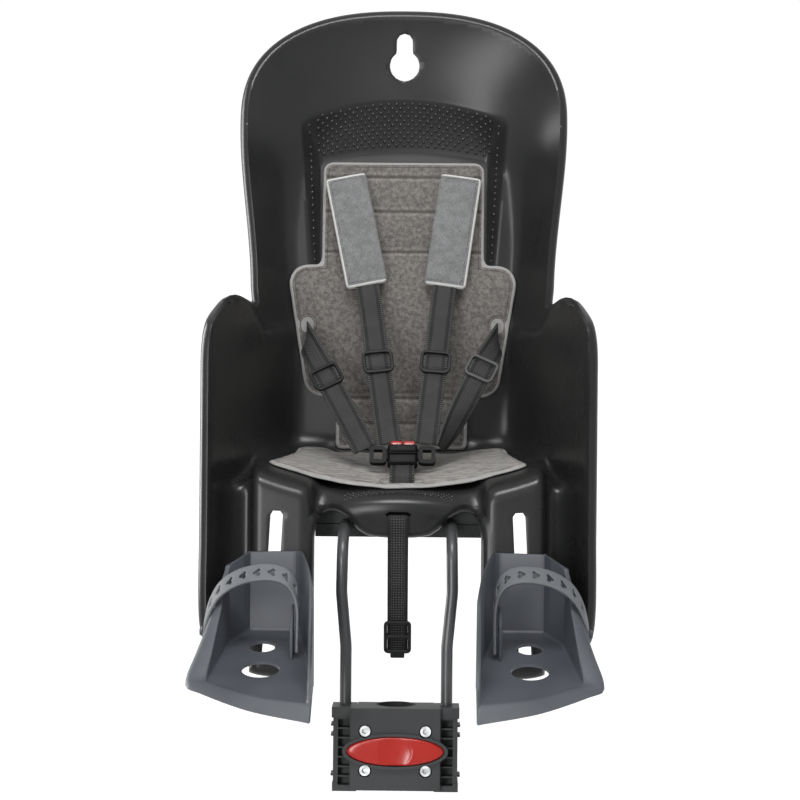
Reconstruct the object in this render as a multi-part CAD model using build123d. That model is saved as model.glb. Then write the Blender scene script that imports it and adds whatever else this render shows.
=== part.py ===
"""Child bike seat that hangs on the seat tube by a two-legged steel bow.

Everything is drawn in the seat-tube frame (Z along the tube, X to the right, Y backwards,
origin on the tube axis inside the clamp block) and leaned back at the very end, so that the
foot wells lie level on the bike.
"""

import math
import os

from build123d import *

# Seat tube and clamp block
LEAN = 17.0
TUBE_R = 17.0
LINER_T = 1.8
BLOCK_HALF = 42.0
BLOCK_LOW = -37.0
BLOCK_HIGH = 40.0
BLOCK_FRONT = -30.0
SPLIT_GAP = 1.5
JAW_BACK = 27.0
JAW_HALF = 36.5
SOCKET_HALF = 10.5
BOLT_X = 28.4
BOLT_Z = 18.5
BOLT_R = 3.0
HEAD_R = 5.0
BUTTON_HALF = 45.5
BUTTON_TALL = 27.0
BUTTON_TRAVEL = 5.0

# Steel bow
ROD_R = 5.5
ROD_X = 48.0
ROD_BACK = 232.0

# Seat shell
WALL = 4.0
PAN_MID = 240.0
PAN_SLOPE = 0.15
PAN_DISH_FRONT = 22.0
PAN_DISH_REAR = 4.0
DISH_AT = 127.0
BACK_LEVEL = 243.0
BACK_LEAN = 0.03
BACK_TOP = 743.5
BACK_MID = 625.0
BACK_HALF = 172.0
WAIST_HALF = 158.8
WAIST_Z = 440.0
FLOOR_HALF = 127.0
WING_FRONT = -12.0
WING_IN = 180.0
WING_OUT = 189.5
PLATE_FRONT = 12.0
PLATE_IN = 83.0
PLATE_OUT = 141.0
VALLEY = 54.0
NOSE_FRONT = 32.0
NOSE_HALF = 84.0
LEG_LOW = 62.0
SLOT_X = 119.5
SLOT_HALF = 6.0
SLOT_LOW = 80.0
SLOT_HIGH = 222.0
SLOT_SPLAY = 3.0
RECESS_DEPTH = 24.0

# Soft goods
PAD_GAP = 0.8
PAD_T = 9.0
WEB_W = 25.0
WAIST_SLOT_Z = 399.0
SLEEVE_RISE = 10.0
WEB_T = 1.6
BUCKLE_X = 3.0

# Foot wells
FOOT_GAP = 0.6
FOOT_T = 3.0
FOOT_SLOPE = 0.299
FOOT_BACK_Z = 108.0
KEY_Z = 150.0

os.makedirs("parts", exist_ok=True)


def write(name, *solids):
    """Lean the finished solids into the bike frame and write one node."""
    found = []
    for shape in solids:
        found.extend(shape.solids())
    leaned = [Rot(-LEAN, 0, 0) * solid for solid in found]
    shape = leaned[0] if len(leaned) == 1 else Compound(children=leaned)
    export_step(shape, f"parts/{name}.step")


def box(x0, x1, y0, y1, z0, z1):
    centre = ((x0 + x1) / 2, (y0 + y1) / 2, (z0 + z1) / 2)
    return Pos(*centre) * Box(abs(x1 - x0), abs(y1 - y0), abs(z1 - z0))


def rod(start, end, radius):
    """Round bar between two points."""
    a = Vector(*start)
    b = Vector(*end)
    return extrude(Plane(a, z_dir=b - a) * Circle(radius), (b - a).length)


def polygon(points):
    return make_face(Polyline(*points, close=True))


def front_prism(face, y0, y1):
    """Face drawn in x and z, pushed along y."""
    plane = Plane((0, y1, 0), x_dir=(1, 0, 0), z_dir=(0, -1, 0))
    return extrude(plane * face, y1 - y0)


def side_prism(face, x0, x1):
    """Face drawn in y and z, pushed along x."""
    plane = Plane((x0, 0, 0), x_dir=(0, 1, 0), z_dir=(1, 0, 0))
    return extrude(plane * face, x1 - x0)


def plan_prism(face, z0, z1):
    """Face drawn in x and y, pushed along z."""
    return extrude(Pos(0, 0, z0) * face, z1 - z0)


def both(right):
    """A right-hand solid and its mirror image."""
    return [right, mirror(right, Plane.YZ)]


def biggest(shape):
    return max(shape.solids(), key=lambda s: s.volume)


def wire3(points):
    return Wire.make_polygon([Vector(*p) for p in points], close=True)


def ruled(*wires):
    return Solid.make_loft(list(wires), ruled=True)


def ribbon(stations, width, thick):
    """Webbing through stations of centre, direction across and direction out."""
    rings = []
    for centre, across, out in stations:
        c = Vector(*centre)
        a = Vector(*across).normalized() * (width / 2)
        n = Vector(*out).normalized() * (thick / 2)
        rings.append(Wire.make_polygon([c - a - n, c + a - n, c + a + n, c - a + n], close=True))
    return ruled(*rings)


def back_level(z):
    return BACK_LEVEL + BACK_LEAN * (z - 300)


def pan_level(y, a):
    part = min(max((y - 50) / 185, 0), 1)
    dish = PAN_DISH_FRONT + (PAN_DISH_REAR - PAN_DISH_FRONT) * part
    return PAN_MID + PAN_SLOPE * (y - 50) + dish * (a / DISH_AT) ** 2


def pan_layer(low, high, y0=8.0, y1=249.5):
    """Dished layer that follows the pan between two heights above it."""
    rings = []
    for y in (y0, y1):
        half = 176.0
        top = pan_level(y, half)
        mid = pan_level(y, 0)
        upper = ThreePointArc((-half, y, top + high), (0, y, mid + high), (half, y, top + high))
        lower = ThreePointArc((half, y, top + low), (0, y, mid + low), (-half, y, top + low))
        right = Line((half, y, top + high), (half, y, top + low))
        left = Line((-half, y, top + low), (-half, y, top + high))
        rings.append(Wire([upper.edge(), right.edge(), lower.edge(), left.edge()]))
    return ruled(*rings)


def back_ring(half, top, low, low_half, level):
    """Arched outline of the back at one depth, as a closed wire of four edges."""
    rise = top - BACK_MID
    power = 2.42
    arch = []
    for step in range(-8, 9):
        angle = math.pi / 2 * step / 8
        x = math.copysign(abs(math.sin(angle)) ** (2 / power), angle) * half
        z = BACK_MID + rise * abs(math.cos(angle)) ** (2 / power)
        arch.append((x, level(z), z))
    top_edge = Edge.make_spline(arch)
    right = []
    for step in range(6):
        z = BACK_MID + (low - BACK_MID) * step / 5
        t = max((z - WAIST_Z) / (BACK_MID - WAIST_Z), 0)
        right.append((low_half + (half - low_half) * t * t * (3 - 2 * t), level(z), z))
    right_edge = Edge.make_spline(right)
    left = [(-x, y, z) for x, y, z in right[::-1]]
    left_edge = Edge.make_spline(left)
    low_edge = Edge.make_line(right[-1], left[0])
    return Wire([top_edge, right_edge, low_edge, left_edge])


# Seat shell, back tray with a forward rim and a recess
def rim_level(z):
    return 185 + (z - WAIST_Z) * 0.16


tray_in = ruled(
    back_ring(153, 735, WAIST_Z - 30, 140, lambda z: rim_level(z) - 12),
    back_ring(150, 732, WAIST_Z - 30, 137, rim_level),
    back_ring(112, 716, WAIST_Z - 30, FLOOR_HALF, back_level),
)
tray_out = ruled(
    back_ring(155, 737, WAIST_Z, 142, rim_level),
    back_ring(116, 720, WAIST_Z, FLOOR_HALF + 4.5, lambda z: back_level(z) + WALL),
)
rim_face = Face(back_ring(BACK_HALF, BACK_TOP, WAIST_Z - 12, WAIST_HALF, rim_level))
rim = extrude(rim_face, WALL + 1, dir=(0, 1, 0))


def recess_level(z):
    return back_level(z) + RECESS_DEPTH * (z - 430) / 168


recess_top = [(-110, 627), (0, 651), (110, 627)]
recess_low = [(-91, 587), (0, 598), (91, 587)]


def recess_ring(top, low_half, low, grow, level):
    p = [(x + math.copysign(grow, x) * (x != 0), z + grow) for x, z in top]
    q = [(low_half + grow, low), (-low_half - grow, low)]
    corners = [(x, level(z), z) for x, z in p + q]
    arc = ThreePointArc(*corners[:3])
    right = Line(corners[2], corners[3])
    floor = Line(corners[3], corners[4])
    left = Line(corners[4], corners[0])
    return Wire([arc.edge(), right.edge(), floor.edge(), left.edge()])


recess_cut = ruled(
    recess_ring(recess_top, 96, 436, 0, lambda z: back_level(z) - 2),
    recess_ring(recess_low, 88, 436, 0, recess_level),
)
recess_back = ruled(
    recess_ring(recess_top, 96, 434, 5, lambda z: back_level(z) + 1),
    recess_ring(recess_low, 88, 434, 5, lambda z: recess_level(z) + WALL + 0.4),
)
tray = tray_out + rim - tray_in + recess_back - recess_cut

# Bucket walls and wings
slope_in = (WING_IN - FLOOR_HALF) / (back_level(WAIST_Z) - WING_FRONT)


def wing_x(y):
    return WING_IN - (y - WING_FRONT) * slope_in


level = back_level(360)
right_u = [
    (0, level),
    (FLOOR_HALF, level),
    (WING_IN, WING_FRONT),
    (WING_OUT, WING_FRONT + 1),
    (WING_OUT, WING_FRONT + 5),
    (WING_IN + WALL, WING_FRONT + WALL + 1),
    (FLOOR_HALF + WALL, level + WALL),
    (0, level + WALL),
]
left_u = [(-x, y) for x, y in right_u[::-1]]
bucket = plan_prism(polygon(right_u[:-1] + left_u[1:-1]), LEG_LOW, WAIST_Z + 6)
under = [(VALLEY, 30), (VALLEY, 150), (125, 232), (256, 262), (330, 262), (330, 30)]
bucket -= side_prism(polygon(under), -260, 260)
ear_in = [(136, 396), (145.5, 410), (152, 422), (158, 429.2), (163.5, 430.5)]
ear = Spline(*ear_in, (178, 414.5), (186.5, 388), (WING_OUT + 0.5, 345))
ear_cap = Polyline((WING_OUT + 0.5, 345), (260, 345), (260, 520), (136, 520), (136, 396))
ear_face = make_face(Curve() + [ear, ear_cap])
for cutter in both(front_prism(ear_face, -60, 184)):
    bucket -= cutter

# Pan with plates and nose
pan_plan = [
    (0, NOSE_FRONT),
    (NOSE_HALF - 9, NOSE_FRONT),
    (PLATE_IN, NOSE_FRONT + 9),
    (PLATE_IN, PLATE_FRONT),
    (PLATE_OUT, PLATE_FRONT),
    (PLATE_OUT, VALLEY),
    (wing_x(VALLEY) + 1.5, VALLEY),
    (FLOOR_HALF + 1.5, 249),
    (0, 249),
]
pan_mirror = [(-x, y) for x, y in pan_plan[-2:0:-1]]
pan = pan_layer(-WALL, 0) & plan_prism(polygon(pan_plan + pan_mirror), 150, 360)
above = pan_layer(-0.6, 140, 4.0, 253.0)

channel = RectangleRounded(PLATE_OUT - PLATE_IN, 120, 8)
hollow = RectangleRounded(PLATE_OUT - PLATE_IN - 2 * WALL, 120, 4.5)
mid = (PLATE_OUT + PLATE_IN) / 2
plate_plan = Pos(mid, PLATE_FRONT + 60) * channel - Pos(mid, PLATE_FRONT + WALL + 60) * hollow
plate = plan_prism(plate_plan, LEG_LOW - 4, 320)
plate &= box(60, 160, 0, VALLEY + WALL, 0, 400)
plate += box(PLATE_OUT - WALL, wing_x(VALLEY) + 2, VALLEY, VALLEY + WALL, LEG_LOW - 4, 320)
plate -= above


def nose_ring(front, z, shrink):
    half = NOSE_HALF - shrink
    y = front + shrink
    back = VALLEY + 4 + shrink
    right = [(half - 8, y, z), (half, y + 10, z), (half, back, z)]
    left = [(-a, b, c) for a, b, c in right[::-1]]
    return wire3(left + right)


nose = ruled(
    nose_ring(NOSE_FRONT + 11, 195, 0),
    nose_ring(NOSE_FRONT, 240, 0),
    nose_ring(NOSE_FRONT, 275, 0),
)
nose -= ruled(
    nose_ring(NOSE_FRONT + 11.5, 193, WALL),
    nose_ring(NOSE_FRONT, 240, WALL),
    nose_ring(NOSE_FRONT, 276, WALL),
)
nose -= above
arch_points = [(38, 185), (38, 196.5), (42, 206), (47, 213), (57, 218), (67, 219.5), (75, 217)]
arch = polygon(arch_points + [(81, 207), (81, 185)])
for cutter in both(front_prism(arch, 0, 70)):
    nose -= cutter

shell = tray + bucket + pan + nose
for solid in both(plate):
    shell += solid
leg_curve = Spline((WING_OUT - 1.5, 111), (172, 80), (140, 65), (108, LEG_LOW), (82.5, 82))
leg_cap = Polyline((82.5, 82), (82.5, 20), (230, 20), (230, 111), (WING_OUT - 1.5, 111))
leg_face = make_face(Curve() + [leg_curve, leg_cap])
for cutter in both(front_prism(leg_face, -60, 120)):
    shell -= cutter

# Openings in the shell
key_bulb = Pos(0, 686) * Circle(15.7)
key_neck = Pos(0, 702.75) * SlotOverall(32.5, 17, rotation=90)
shell -= front_prism(key_bulb + key_neck, 150, 300)
splay = math.tan(math.radians(SLOT_SPLAY))
slot_mid = (SLOT_LOW + SLOT_HIGH) / 2
slot_shape = RectangleRounded(2 * SLOT_HALF, SLOT_HIGH - SLOT_LOW, 2.5)
slot_face = Pos(SLOT_X, slot_mid) * Rot(0, 0, SLOT_SPLAY) * slot_shape
for cutter in both(front_prism(slot_face, 0, 30)):
    shell -= cutter
for x in (-61, 61):
    shell -= box(x - 15.5, x + 15.5, 240, 300, 560, 567)
for x in (-101, 101):
    shell -= box(x - 4, x + 4, 225, 275, WAIST_SLOT_Z - 16, WAIST_SLOT_Z + 16)
shell -= box(BUCKLE_X - 15, BUCKLE_X + 15, 70, 77, 200, 300)
shell -= box(-12, 12, 10, 60, 215.9, 219.5)

# Bosses under the pan and the bow carrier screwed to them
pan_tilt = math.atan(PAN_SLOPE)
pan_up = (0, -math.sin(pan_tilt), math.cos(pan_tilt))
pan_plane = Plane((0, 50, PAN_MID), x_dir=(1, 0, 0), z_dir=pan_up)
BOSS_AT = [(-68, 52), (68, 52), (-68, 118), (68, 118)]
BOSS_LOW = -14.0
ROD_DROP = -36.0
CARRIER_HALF = 82.0
CARRIER_FRONT = 16.0
CARRIER_BACK = 138.0
CLAMP_LOW = -49.0
RUN_X = 52.0


def on_pan(x, v, low, high, radius):
    return extrude(pan_plane * Pos(x, v, low) * Circle(radius), high - low)


def pan_box(x0, x1, v0, v1, n0, n1):
    face = Pos((x0 + x1) / 2, (v0 + v1) / 2, n0) * Rectangle(x1 - x0, v1 - v0)
    return extrude(pan_plane * face, n1 - n0)


for x, v in BOSS_AT:
    shell += on_pan(x, v, BOSS_LOW, 0.8, 8)
for x, v in BOSS_AT:
    shell -= on_pan(x, v, BOSS_LOW - 1, -4, 2.55)
write("seat_shell", shell)

run_start = pan_plane.from_local_coords((RUN_X, -60, ROD_DROP))
run_end = pan_plane.from_local_coords((RUN_X, 260, ROD_DROP))
groove = [rod(tuple(run_start), tuple(run_end), ROD_R + 0.04)]
groove.append(mirror(groove[0], Plane.YZ))
carrier = pan_box(-CARRIER_HALF, CARRIER_HALF, CARRIER_FRONT, CARRIER_BACK, ROD_DROP + 0.4, BOSS_LOW)
carrier -= pan_box(-38, 38, CARRIER_FRONT + 14, CARRIER_BACK - 14, ROD_DROP, BOSS_LOW - 6)
clamp = pan_box(-CARRIER_HALF, CARRIER_HALF, CARRIER_FRONT, CARRIER_FRONT + 66, CLAMP_LOW, ROD_DROP - 0.4)
rear_from = CARRIER_BACK - 46
clamp_rear = pan_box(-CARRIER_HALF, CARRIER_HALF, rear_from, CARRIER_BACK, CLAMP_LOW + 4, ROD_DROP - 0.4)
screws = []
for x, v in BOSS_AT:
    low = CLAMP_LOW if v < 100 else CLAMP_LOW + 4
    hole = on_pan(x, v, low - 1, BOSS_LOW + 1, 2.75)
    carrier -= hole
    clamp -= hole
    clamp_rear -= hole
    screws.append(on_pan(x, v, low - 4, low, 5) + on_pan(x, v, low - 0.5, -6, 2.5))
for tool in groove:
    carrier -= tool
    clamp -= tool
    clamp_rear -= tool
write("bow_carrier", carrier)
write("bow_clamp_front", clamp)
write("bow_clamp_rear", clamp_rear)
write("carrier_screws", *screws)

# Steel bow, one bent bar
knee_z = PAN_MID + PAN_SLOPE * (4 - 50) + ROD_DROP / math.cos(pan_tilt)
back_z = PAN_MID + PAN_SLOPE * (ROD_BACK - 50) + ROD_DROP / math.cos(pan_tilt)
right_leg = [
    (ROD_X, 0, BLOCK_LOW + 3),
    (ROD_X, 0, 95),
    (RUN_X + 0.8, 3, 146),
    (RUN_X, 4, knee_z),
    (RUN_X, ROD_BACK, back_z),
]
left_leg = [(-x, y, z) for x, y, z in right_leg[::-1]]
bow_path = FilletPolyline(*right_leg, *left_leg, radius=[70, 70, 28, 36, 36, 28, 70, 70])
bow = sweep(Plane(bow_path @ 0, z_dir=bow_path % 0) * Circle(ROD_R), path=bow_path)
LATCH_Z = 3.0
for x in (-1, 1):
    bow -= box(x * (ROD_X - ROD_R - 1), x * (ROD_X - 3.0), -8, 8, -LATCH_Z - 0.6, LATCH_Z + 0.6)
write("support_bow", bow)

# Clamp block on the seat tube
bore_r = TUBE_R + LINER_T + 0.02
block = box(-BLOCK_HALF, BLOCK_HALF, BLOCK_FRONT, -SPLIT_GAP / 2, BLOCK_LOW, BLOCK_HIGH)
for x in (-1, 1):
    a = x * (ROD_X - SOCKET_HALF)
    b = x * (ROD_X + SOCKET_HALF)
    block += box(a, b, -22, 9, BLOCK_LOW, BLOCK_HIGH)
    block += box(x * 36.5, x * 60, -23.5, 10.5, BLOCK_HIGH - 10, BLOCK_HIGH)
    block += box(x * 36.5, x * 59.2, -23, 9.5, BLOCK_LOW - 2, BLOCK_LOW + 6)
    for z in (22, 12.5, -25):
        block += box(x * 58, x * 61, -15, 4, z - 0.9, z + 0.9)
    for row in range(7):
        z = BLOCK_HIGH - 15.5 - row * 9.0
        block -= box(x * 43, x * 54, -25, -11, z - 3.9, z + 3.9)
    block -= rod((x * ROD_X, 0, BLOCK_LOW + 2.6), (x * ROD_X, 0, BLOCK_HIGH + 2), ROD_R + 0.04)
    block -= box(x * 21, x * 50, -9, 1, -LATCH_Z - 0.4, LATCH_Z + 0.4)
ring_face = Ellipse(BUTTON_HALF + 4, BUTTON_TALL / 2 + 3.5)
block += front_prism(ring_face, BLOCK_FRONT - 3, BLOCK_FRONT + 2)
block -= front_prism(Ellipse(BUTTON_HALF + 0.6, BUTTON_TALL / 2 + 0.6), BLOCK_FRONT - 6, -22.4)
block -= rod((0, 0, BLOCK_LOW - 9), (0, 0, BLOCK_HIGH + 9), bore_r)
block -= box(-26.7, 26.7, -SPLIT_GAP / 2, 20, -60, 60)
jaw = box(-JAW_HALF, JAW_HALF, SPLIT_GAP / 2, JAW_BACK, BLOCK_LOW + 2, BLOCK_HIGH - 2)
jaw -= rod((0, 0, BLOCK_LOW - 9), (0, 0, BLOCK_HIGH + 9), bore_r)
bolts = []
nuts = []
for x in (-BOLT_X, BOLT_X):
    for z in (-BOLT_Z, BOLT_Z):
        hole = rod((x, -40, z), (x, 40, z), BOLT_R + 0.15)
        block -= hole
        block -= rod((x, -40, z), (x, BLOCK_FRONT + 6.5, z), HEAD_R + 1.2)
        jaw -= hole
        bolt = rod((x, BLOCK_FRONT + 0.8, z), (x, BLOCK_FRONT + 6.5, z), HEAD_R)
        bolt += rod((x, BLOCK_FRONT + 6, z), (x, JAW_BACK + 7, z), BOLT_R)
        key = Plane((x, BLOCK_FRONT + 4, z), z_dir=(0, -1, 0)) * RegularPolygon(2.9, 6)
        bolt -= extrude(key, 10)
        bolts.append(bolt)
        ring = RegularPolygon(5.7, 6) - Circle(BOLT_R + 0.02)
        nuts.append(extrude(Plane((x, JAW_BACK + 5.2, z), z_dir=(0, -1, 0)) * ring, 5.2))
write("block_front", block)
write("block_jaw", jaw)
write("block_bolts", *bolts)
write("block_nuts", *nuts)
liner = rod((0, 0, BLOCK_LOW), (0, 0, BLOCK_HIGH), TUBE_R + LINER_T) - rod(
    (0, 0, BLOCK_LOW - 1), (0, 0, BLOCK_HIGH + 1), TUBE_R
)
liner -= box(-30, 30, -1.2, 1.2, -80, 80)
write("tube_liners", *liner.solids())

# Release button, its springs and the two latches in the bow
button = front_prism(Ellipse(BUTTON_HALF, BUTTON_TALL / 2), BLOCK_FRONT - 3.5, BLOCK_FRONT + 1.8)
crown = front_prism(Ellipse(BUTTON_HALF - 3, BUTTON_TALL / 2 - 3), BLOCK_FRONT - 5, BLOCK_FRONT)
button = button + crown - Pos(0, BLOCK_FRONT - 33.5, 0) * Sphere(30)
write("release_button", button)
springs = []
for x in (-24, 24):
    coil = rod((x, BLOCK_FRONT + 1.9, 0), (x, -22.5, 0), 3.2) - rod((x, -40, 0), (x, -10, 0), 2.4)
    springs.append(coil)
write("button_springs", *springs)
for side, x in (("left", -1), ("right", 1)):
    latch = box(x * 28, x * (ROD_X - 3.4), -7.5, -0.6, -LATCH_Z, LATCH_Z)
    write(f"rod_latch_{side}", latch)

# Hanging safety strap with its ladder lock, plumb on the bike
drop = math.tan(math.radians(LEAN))


def plumb(z, out=0.0):
    return (0, 30.5 + (217 - z) * drop + out, z)


face_out = (0, -1, -drop)
strap_top = 217 + WEB_T / 2
strap_front = plumb(211, -WEB_T / 2)[1]
strap_low = plumb(80)[1]
strap_side = [
    (62, strap_top),
    (33, strap_top),
    (strap_front, 211),
    (strap_low - WEB_T / 2, 80),
    (strap_low + WEB_T / 2, 80),
    (strap_front + WEB_T, 211),
    (33.6, strap_top - WEB_T),
    (62, strap_top - WEB_T),
]
write("safety_strap", side_prism(polygon(strap_side), -10, 10))
lock_plane = Plane(plumb(95), x_dir=(1, 0, 0), z_dir=face_out)


def slider(plane, width, tall, strap_w, thick=WEB_T):
    """Three-bar slide round a flat strap."""
    rail = (width - strap_w) / 2 - 0.35
    near = thick / 2 + 0.3
    bar = 2.4
    deep = near + bar
    solid = None
    for x in (-1, 1):
        edge = Pos(x * (width - rail) / 2, 0, 0) * Box(rail, tall, 2 * deep)
        solid = edge if solid is None else solid + edge
    for y in (-1, 1):
        solid += Pos(0, y * (tall / 2 - 2.5), near + bar / 2) * Box(width, 5, bar)
    solid += Pos(0, 0, -near - bar / 2) * Box(width, 5, bar)
    return plane.location * solid


write("safety_lock", slider(lock_plane, 27, 34, 20))

# One sewn cushion, back part and seat part
def pad_front(z):
    level = recess_level(z) if z > 430 else back_level(z)
    return level - PAD_GAP - PAD_T


def pad_back(z):
    return pad_front(z) + PAD_T


wide_front = back_level(360) - PAD_GAP - PAD_T
upper_profile = [(pad_back(z), z) for z in (432, 590)] + [(pad_front(z), z) for z in (590, 432)]
upper_slab = side_prism(polygon(upper_profile), -150, 150)
wide_slab = box(-150, 150, wide_front, wide_front + PAD_T, 272, 480)
upper = Pos(0, 522.5) * RectangleRounded(176, 125, 9)
wide_points = [(-123, 466), (123, 466), (104, 331), (-104, 331)]
wide = fillet(polygon(wide_points).vertices(), 20)
waist = Pos(0, 305) * Rectangle(140, 66)
pad = upper_slab & front_prism(upper, 100, 330)
pad += wide_slab & front_prism(wide + waist, 100, 330)
seat_right = [(110, 236), (129, 70), (60, 60), (20, 57), (20, 76)]
seat_left = [(-16, 76), (-16, 57), (-60, 60), (-129, 70), (-110, 236)]
seat_face = polygon(seat_right + seat_left)
pad += pan_layer(PAD_GAP, PAD_GAP + PAD_T) & plan_prism(seat_face, 150, 360)
for x in (-61, 61):
    pad -= box(x - 15, x + 15, 200, 300, 560.5, 566.5)
for x in (-101, 101):
    pad -= box(x - 3.6, x + 3.6, 200, 275, WAIST_SLOT_Z - 15, WAIST_SLOT_Z + 15)
write("seat_pad", pad)

# Harness: shoulder webbing, shoulder pads, waist webbing and crotch webbing
TONGUE_Y = 112.0
right_path = [(61, 569), (44.5, 448), (40, 372), (27, 293)]
left_path = [(-61, 569), (-37, 448), (-24, 372), (-12, 293)]


def facing(p, q, across=(1, 0, 0)):
    """Outward direction of a strap that runs from p to q."""
    run = Vector(*q) - Vector(*p)
    out = Vector(*across).cross(run)
    return out if out.Y < 0 else out * -1


def square(p, q):
    """Direction across a strap that runs from p to q."""
    run = (Vector(*q) - Vector(*p)).normalized()
    flat = Vector(1, 0, 0) - run * run.X
    return flat


for side, path in (("left", left_path), ("right", right_path)):
    top_x = path[0][0]
    front = pad_front(563.5) - 9
    p0 = (top_x, recess_level(563.5) + WALL + 8, 563.5)
    p1 = (top_x, front + 4, 563.5)
    p2 = (top_x * 0.98, front, 556)
    p3 = (path[1][0], wide_front - 10.8, path[1][1])
    p4 = (path[2][0], 178, path[2][1])
    p5 = (path[3][0], TONGUE_Y + 6, path[3][1])
    run = [
        (p0, (1, 0, 0), (0, 0, 1)),
        (p1, (1, 0, 0), (0, -0.4, 1)),
        (p2, square(p2, p3), facing(p2, p3)),
        (p3, square(p2, p4), facing(p2, p4)),
        (p5, square(p3, p5), facing(p3, p5)),
    ]
    write(f"shoulder_strap_{side}", ribbon(run, WEB_W, WEB_T))
    lean = recess_level(1) - recess_level(0)
    seat = (top_x, recess_level(563.5) + WALL + 1.0, 563.5)
    anchor_plane = Plane(seat, x_dir=(1, 0, 0), z_dir=(0, -1, lean))
    frame_face = Rectangle(36, 27) - Rectangle(WEB_W + 3, 4.6)
    write(f"shoulder_anchor_{side}", extrude(anchor_plane * frame_face, -4))
    along = Vector(*p3) - Vector(*p2)
    middle = (Vector(*p2) + Vector(*p3)) * 0.5
    sleeve_plane = Plane(middle, x_dir=square(p2, p3), z_dir=facing(p2, p3))
    sleeve = Pos(0, SLEEVE_RISE / 2, 0) * Box(45, along.length - 2 + SLEEVE_RISE, 12)
    sleeve -= Box(WEB_W + 2, along.length + 60, WEB_T + 1.2)
    sleeve -= Pos(0, along.length / 2 + 20, -4) * Box(WEB_W + 2, 50, 9.4)
    write(f"shoulder_pad_{side}", sleeve_plane.location * sleeve)
    share = (p3[2] - 367) / (p3[2] - p5[2])
    spot = Vector(*p3) + (Vector(*p5) - Vector(*p3)) * share
    slide_plane = Plane(spot, x_dir=square(p3, p5), z_dir=facing(p3, p5))
    write(f"shoulder_slide_{side}", slider(slide_plane, 32, 28, WEB_W))

# Waist webbing from the side slots of the cushion to the tongues
WAIST_Y = 108.0
waist_sides = [("left", -1, (-85, 366), (-35, 279)), ("right", 1, (91, 377), (41, 281))]
for side, x, slide_xz, end in waist_sides:
    slot_front = pad_front(WAIST_SLOT_Z) - 3
    p0 = (x * 101, back_level(WAIST_SLOT_Z) + WALL + 8, WAIST_SLOT_Z)
    p1 = (x * 101, slot_front, WAIST_SLOT_Z)
    p2 = (slide_xz[0], 186, slide_xz[1])
    p3 = (end[0], WAIST_Y + 6, end[1])
    along = Vector(*p3) - Vector(*p2)
    across = along.cross(Vector(0, -1, 0.25))
    flat_out = across.cross(along)
    flat_out = flat_out if flat_out.Y < 0 else flat_out * -1
    lift = Vector(x * 101, slot_front - 16, WAIST_SLOT_Z - 8)
    run = [
        (p0, (0, 0, 1), (1, 0, 0)),
        (p1, (0, 0, 1), (1, 0, 0)),
        (tuple(lift), (-x * 0.5, 0, 1), (x * 0.6, -1, 0.3)),
        (p2, across * -x if (across * -x).Z > 0 else across * x, flat_out),
        (p3, across * -x if (across * -x).Z > 0 else across * x, flat_out),
    ]
    write(f"waist_strap_{side}", ribbon(run, WEB_W, WEB_T))
    bar_y = level + WALL + 0.2
    anchor = box(x * 92, x * 97.5, bar_y, bar_y + 4, WAIST_SLOT_Z - 18, WAIST_SLOT_Z + 18)
    anchor += box(x * 104.5, x * 110, bar_y, bar_y + 4, WAIST_SLOT_Z - 18, WAIST_SLOT_Z + 18)
    anchor += box(x * 92, x * 110, bar_y, bar_y + 4, WAIST_SLOT_Z + 12.8, WAIST_SLOT_Z + 20)
    anchor += box(x * 92, x * 110, bar_y, bar_y + 4, WAIST_SLOT_Z - 20, WAIST_SLOT_Z - 12.8)
    write(f"waist_anchor_{side}", anchor)
    spot = Vector(*p2) + along * 0.17
    width_dir = across.normalized()
    slide_plane = Plane(spot, x_dir=width_dir, z_dir=flat_out)
    write(f"waist_slide_{side}", slider(slide_plane, 32, 27, WEB_W))

# Harness buckle on the crotch webbing
buckle_tilt = math.radians(28)
buckle_up = (0, math.sin(buckle_tilt), math.cos(buckle_tilt))
buckle_out = (0, -math.cos(buckle_tilt), math.sin(buckle_tilt))
buckle_plane = Plane((BUCKLE_X, 106, 273), x_dir=(1, 0, 0), z_dir=buckle_out)


def in_buckle(x0, x1, v0, v1, n0, n1):
    face = Pos((x0 + x1) / 2, (v0 + v1) / 2, n0) * Rectangle(x1 - x0, v1 - v0)
    return extrude(buckle_plane * face, n1 - n0)


housing = in_buckle(-15, 15, -12, 11, -7, 6)
housing -= in_buckle(-12.4, 12.4, 1.5, 20, -4, 3.4)
housing -= in_buckle(-20, 20, -6, 6.5, -3.6, 3)
housing -= in_buckle(-13, 13, -20, -9, -1.6, 1.6)
cover = in_buckle(-13.6, 13.6, -11, 9.5, 6.05, 8)
write("buckle_housing", housing)
write("buckle_cover", cover)
for side, x in (("left", -1), ("right", 1)):
    a, b = sorted((x * 0.5, x * 12))
    button = in_buckle(a, b, 8.2, 15.5, -3.6, 3.0)
    write(f"buckle_button_{side}", button)
    a, b = sorted((x * 4.5, x * 8))
    coil = in_buckle(a, b, 5.8, 8.1, -2, 1.5)
    write(f"buckle_spring_{side}", coil)
    a, b = sorted((x * 1.2, x * 16))
    c, d = sorted((x * 16, x * 33))
    tongue = in_buckle(a, b, -5, 5.5, -2.6, 2) + in_buckle(c, d, -9, 9, -4, 4)
    a, b = sorted((x * 20, x * 26))
    tongue -= in_buckle(a, b, -14, 14, -2, 1.4)
    write(f"buckle_tongue_{side}", tongue)
crotch_low = (BUCKLE_X, 73.5, 236)
crotch_run = [
    (crotch_low, (1, 0, 0), (0, -1, 0)),
    ((BUCKLE_X, 73.5, 252), (1, 0, 0), (0, -1, 0.3)),
    ((BUCKLE_X, 78, 258.5), (1, 0, 0), (0, -1, 1.0)),
    (tuple(buckle_plane.from_local_coords((0, -12.4, 0))), (1, 0, 0), buckle_out),
]
write("crotch_strap", ribbon(crotch_run, WEB_W - 1, WEB_T))
crotch_y = 73.5
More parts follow.
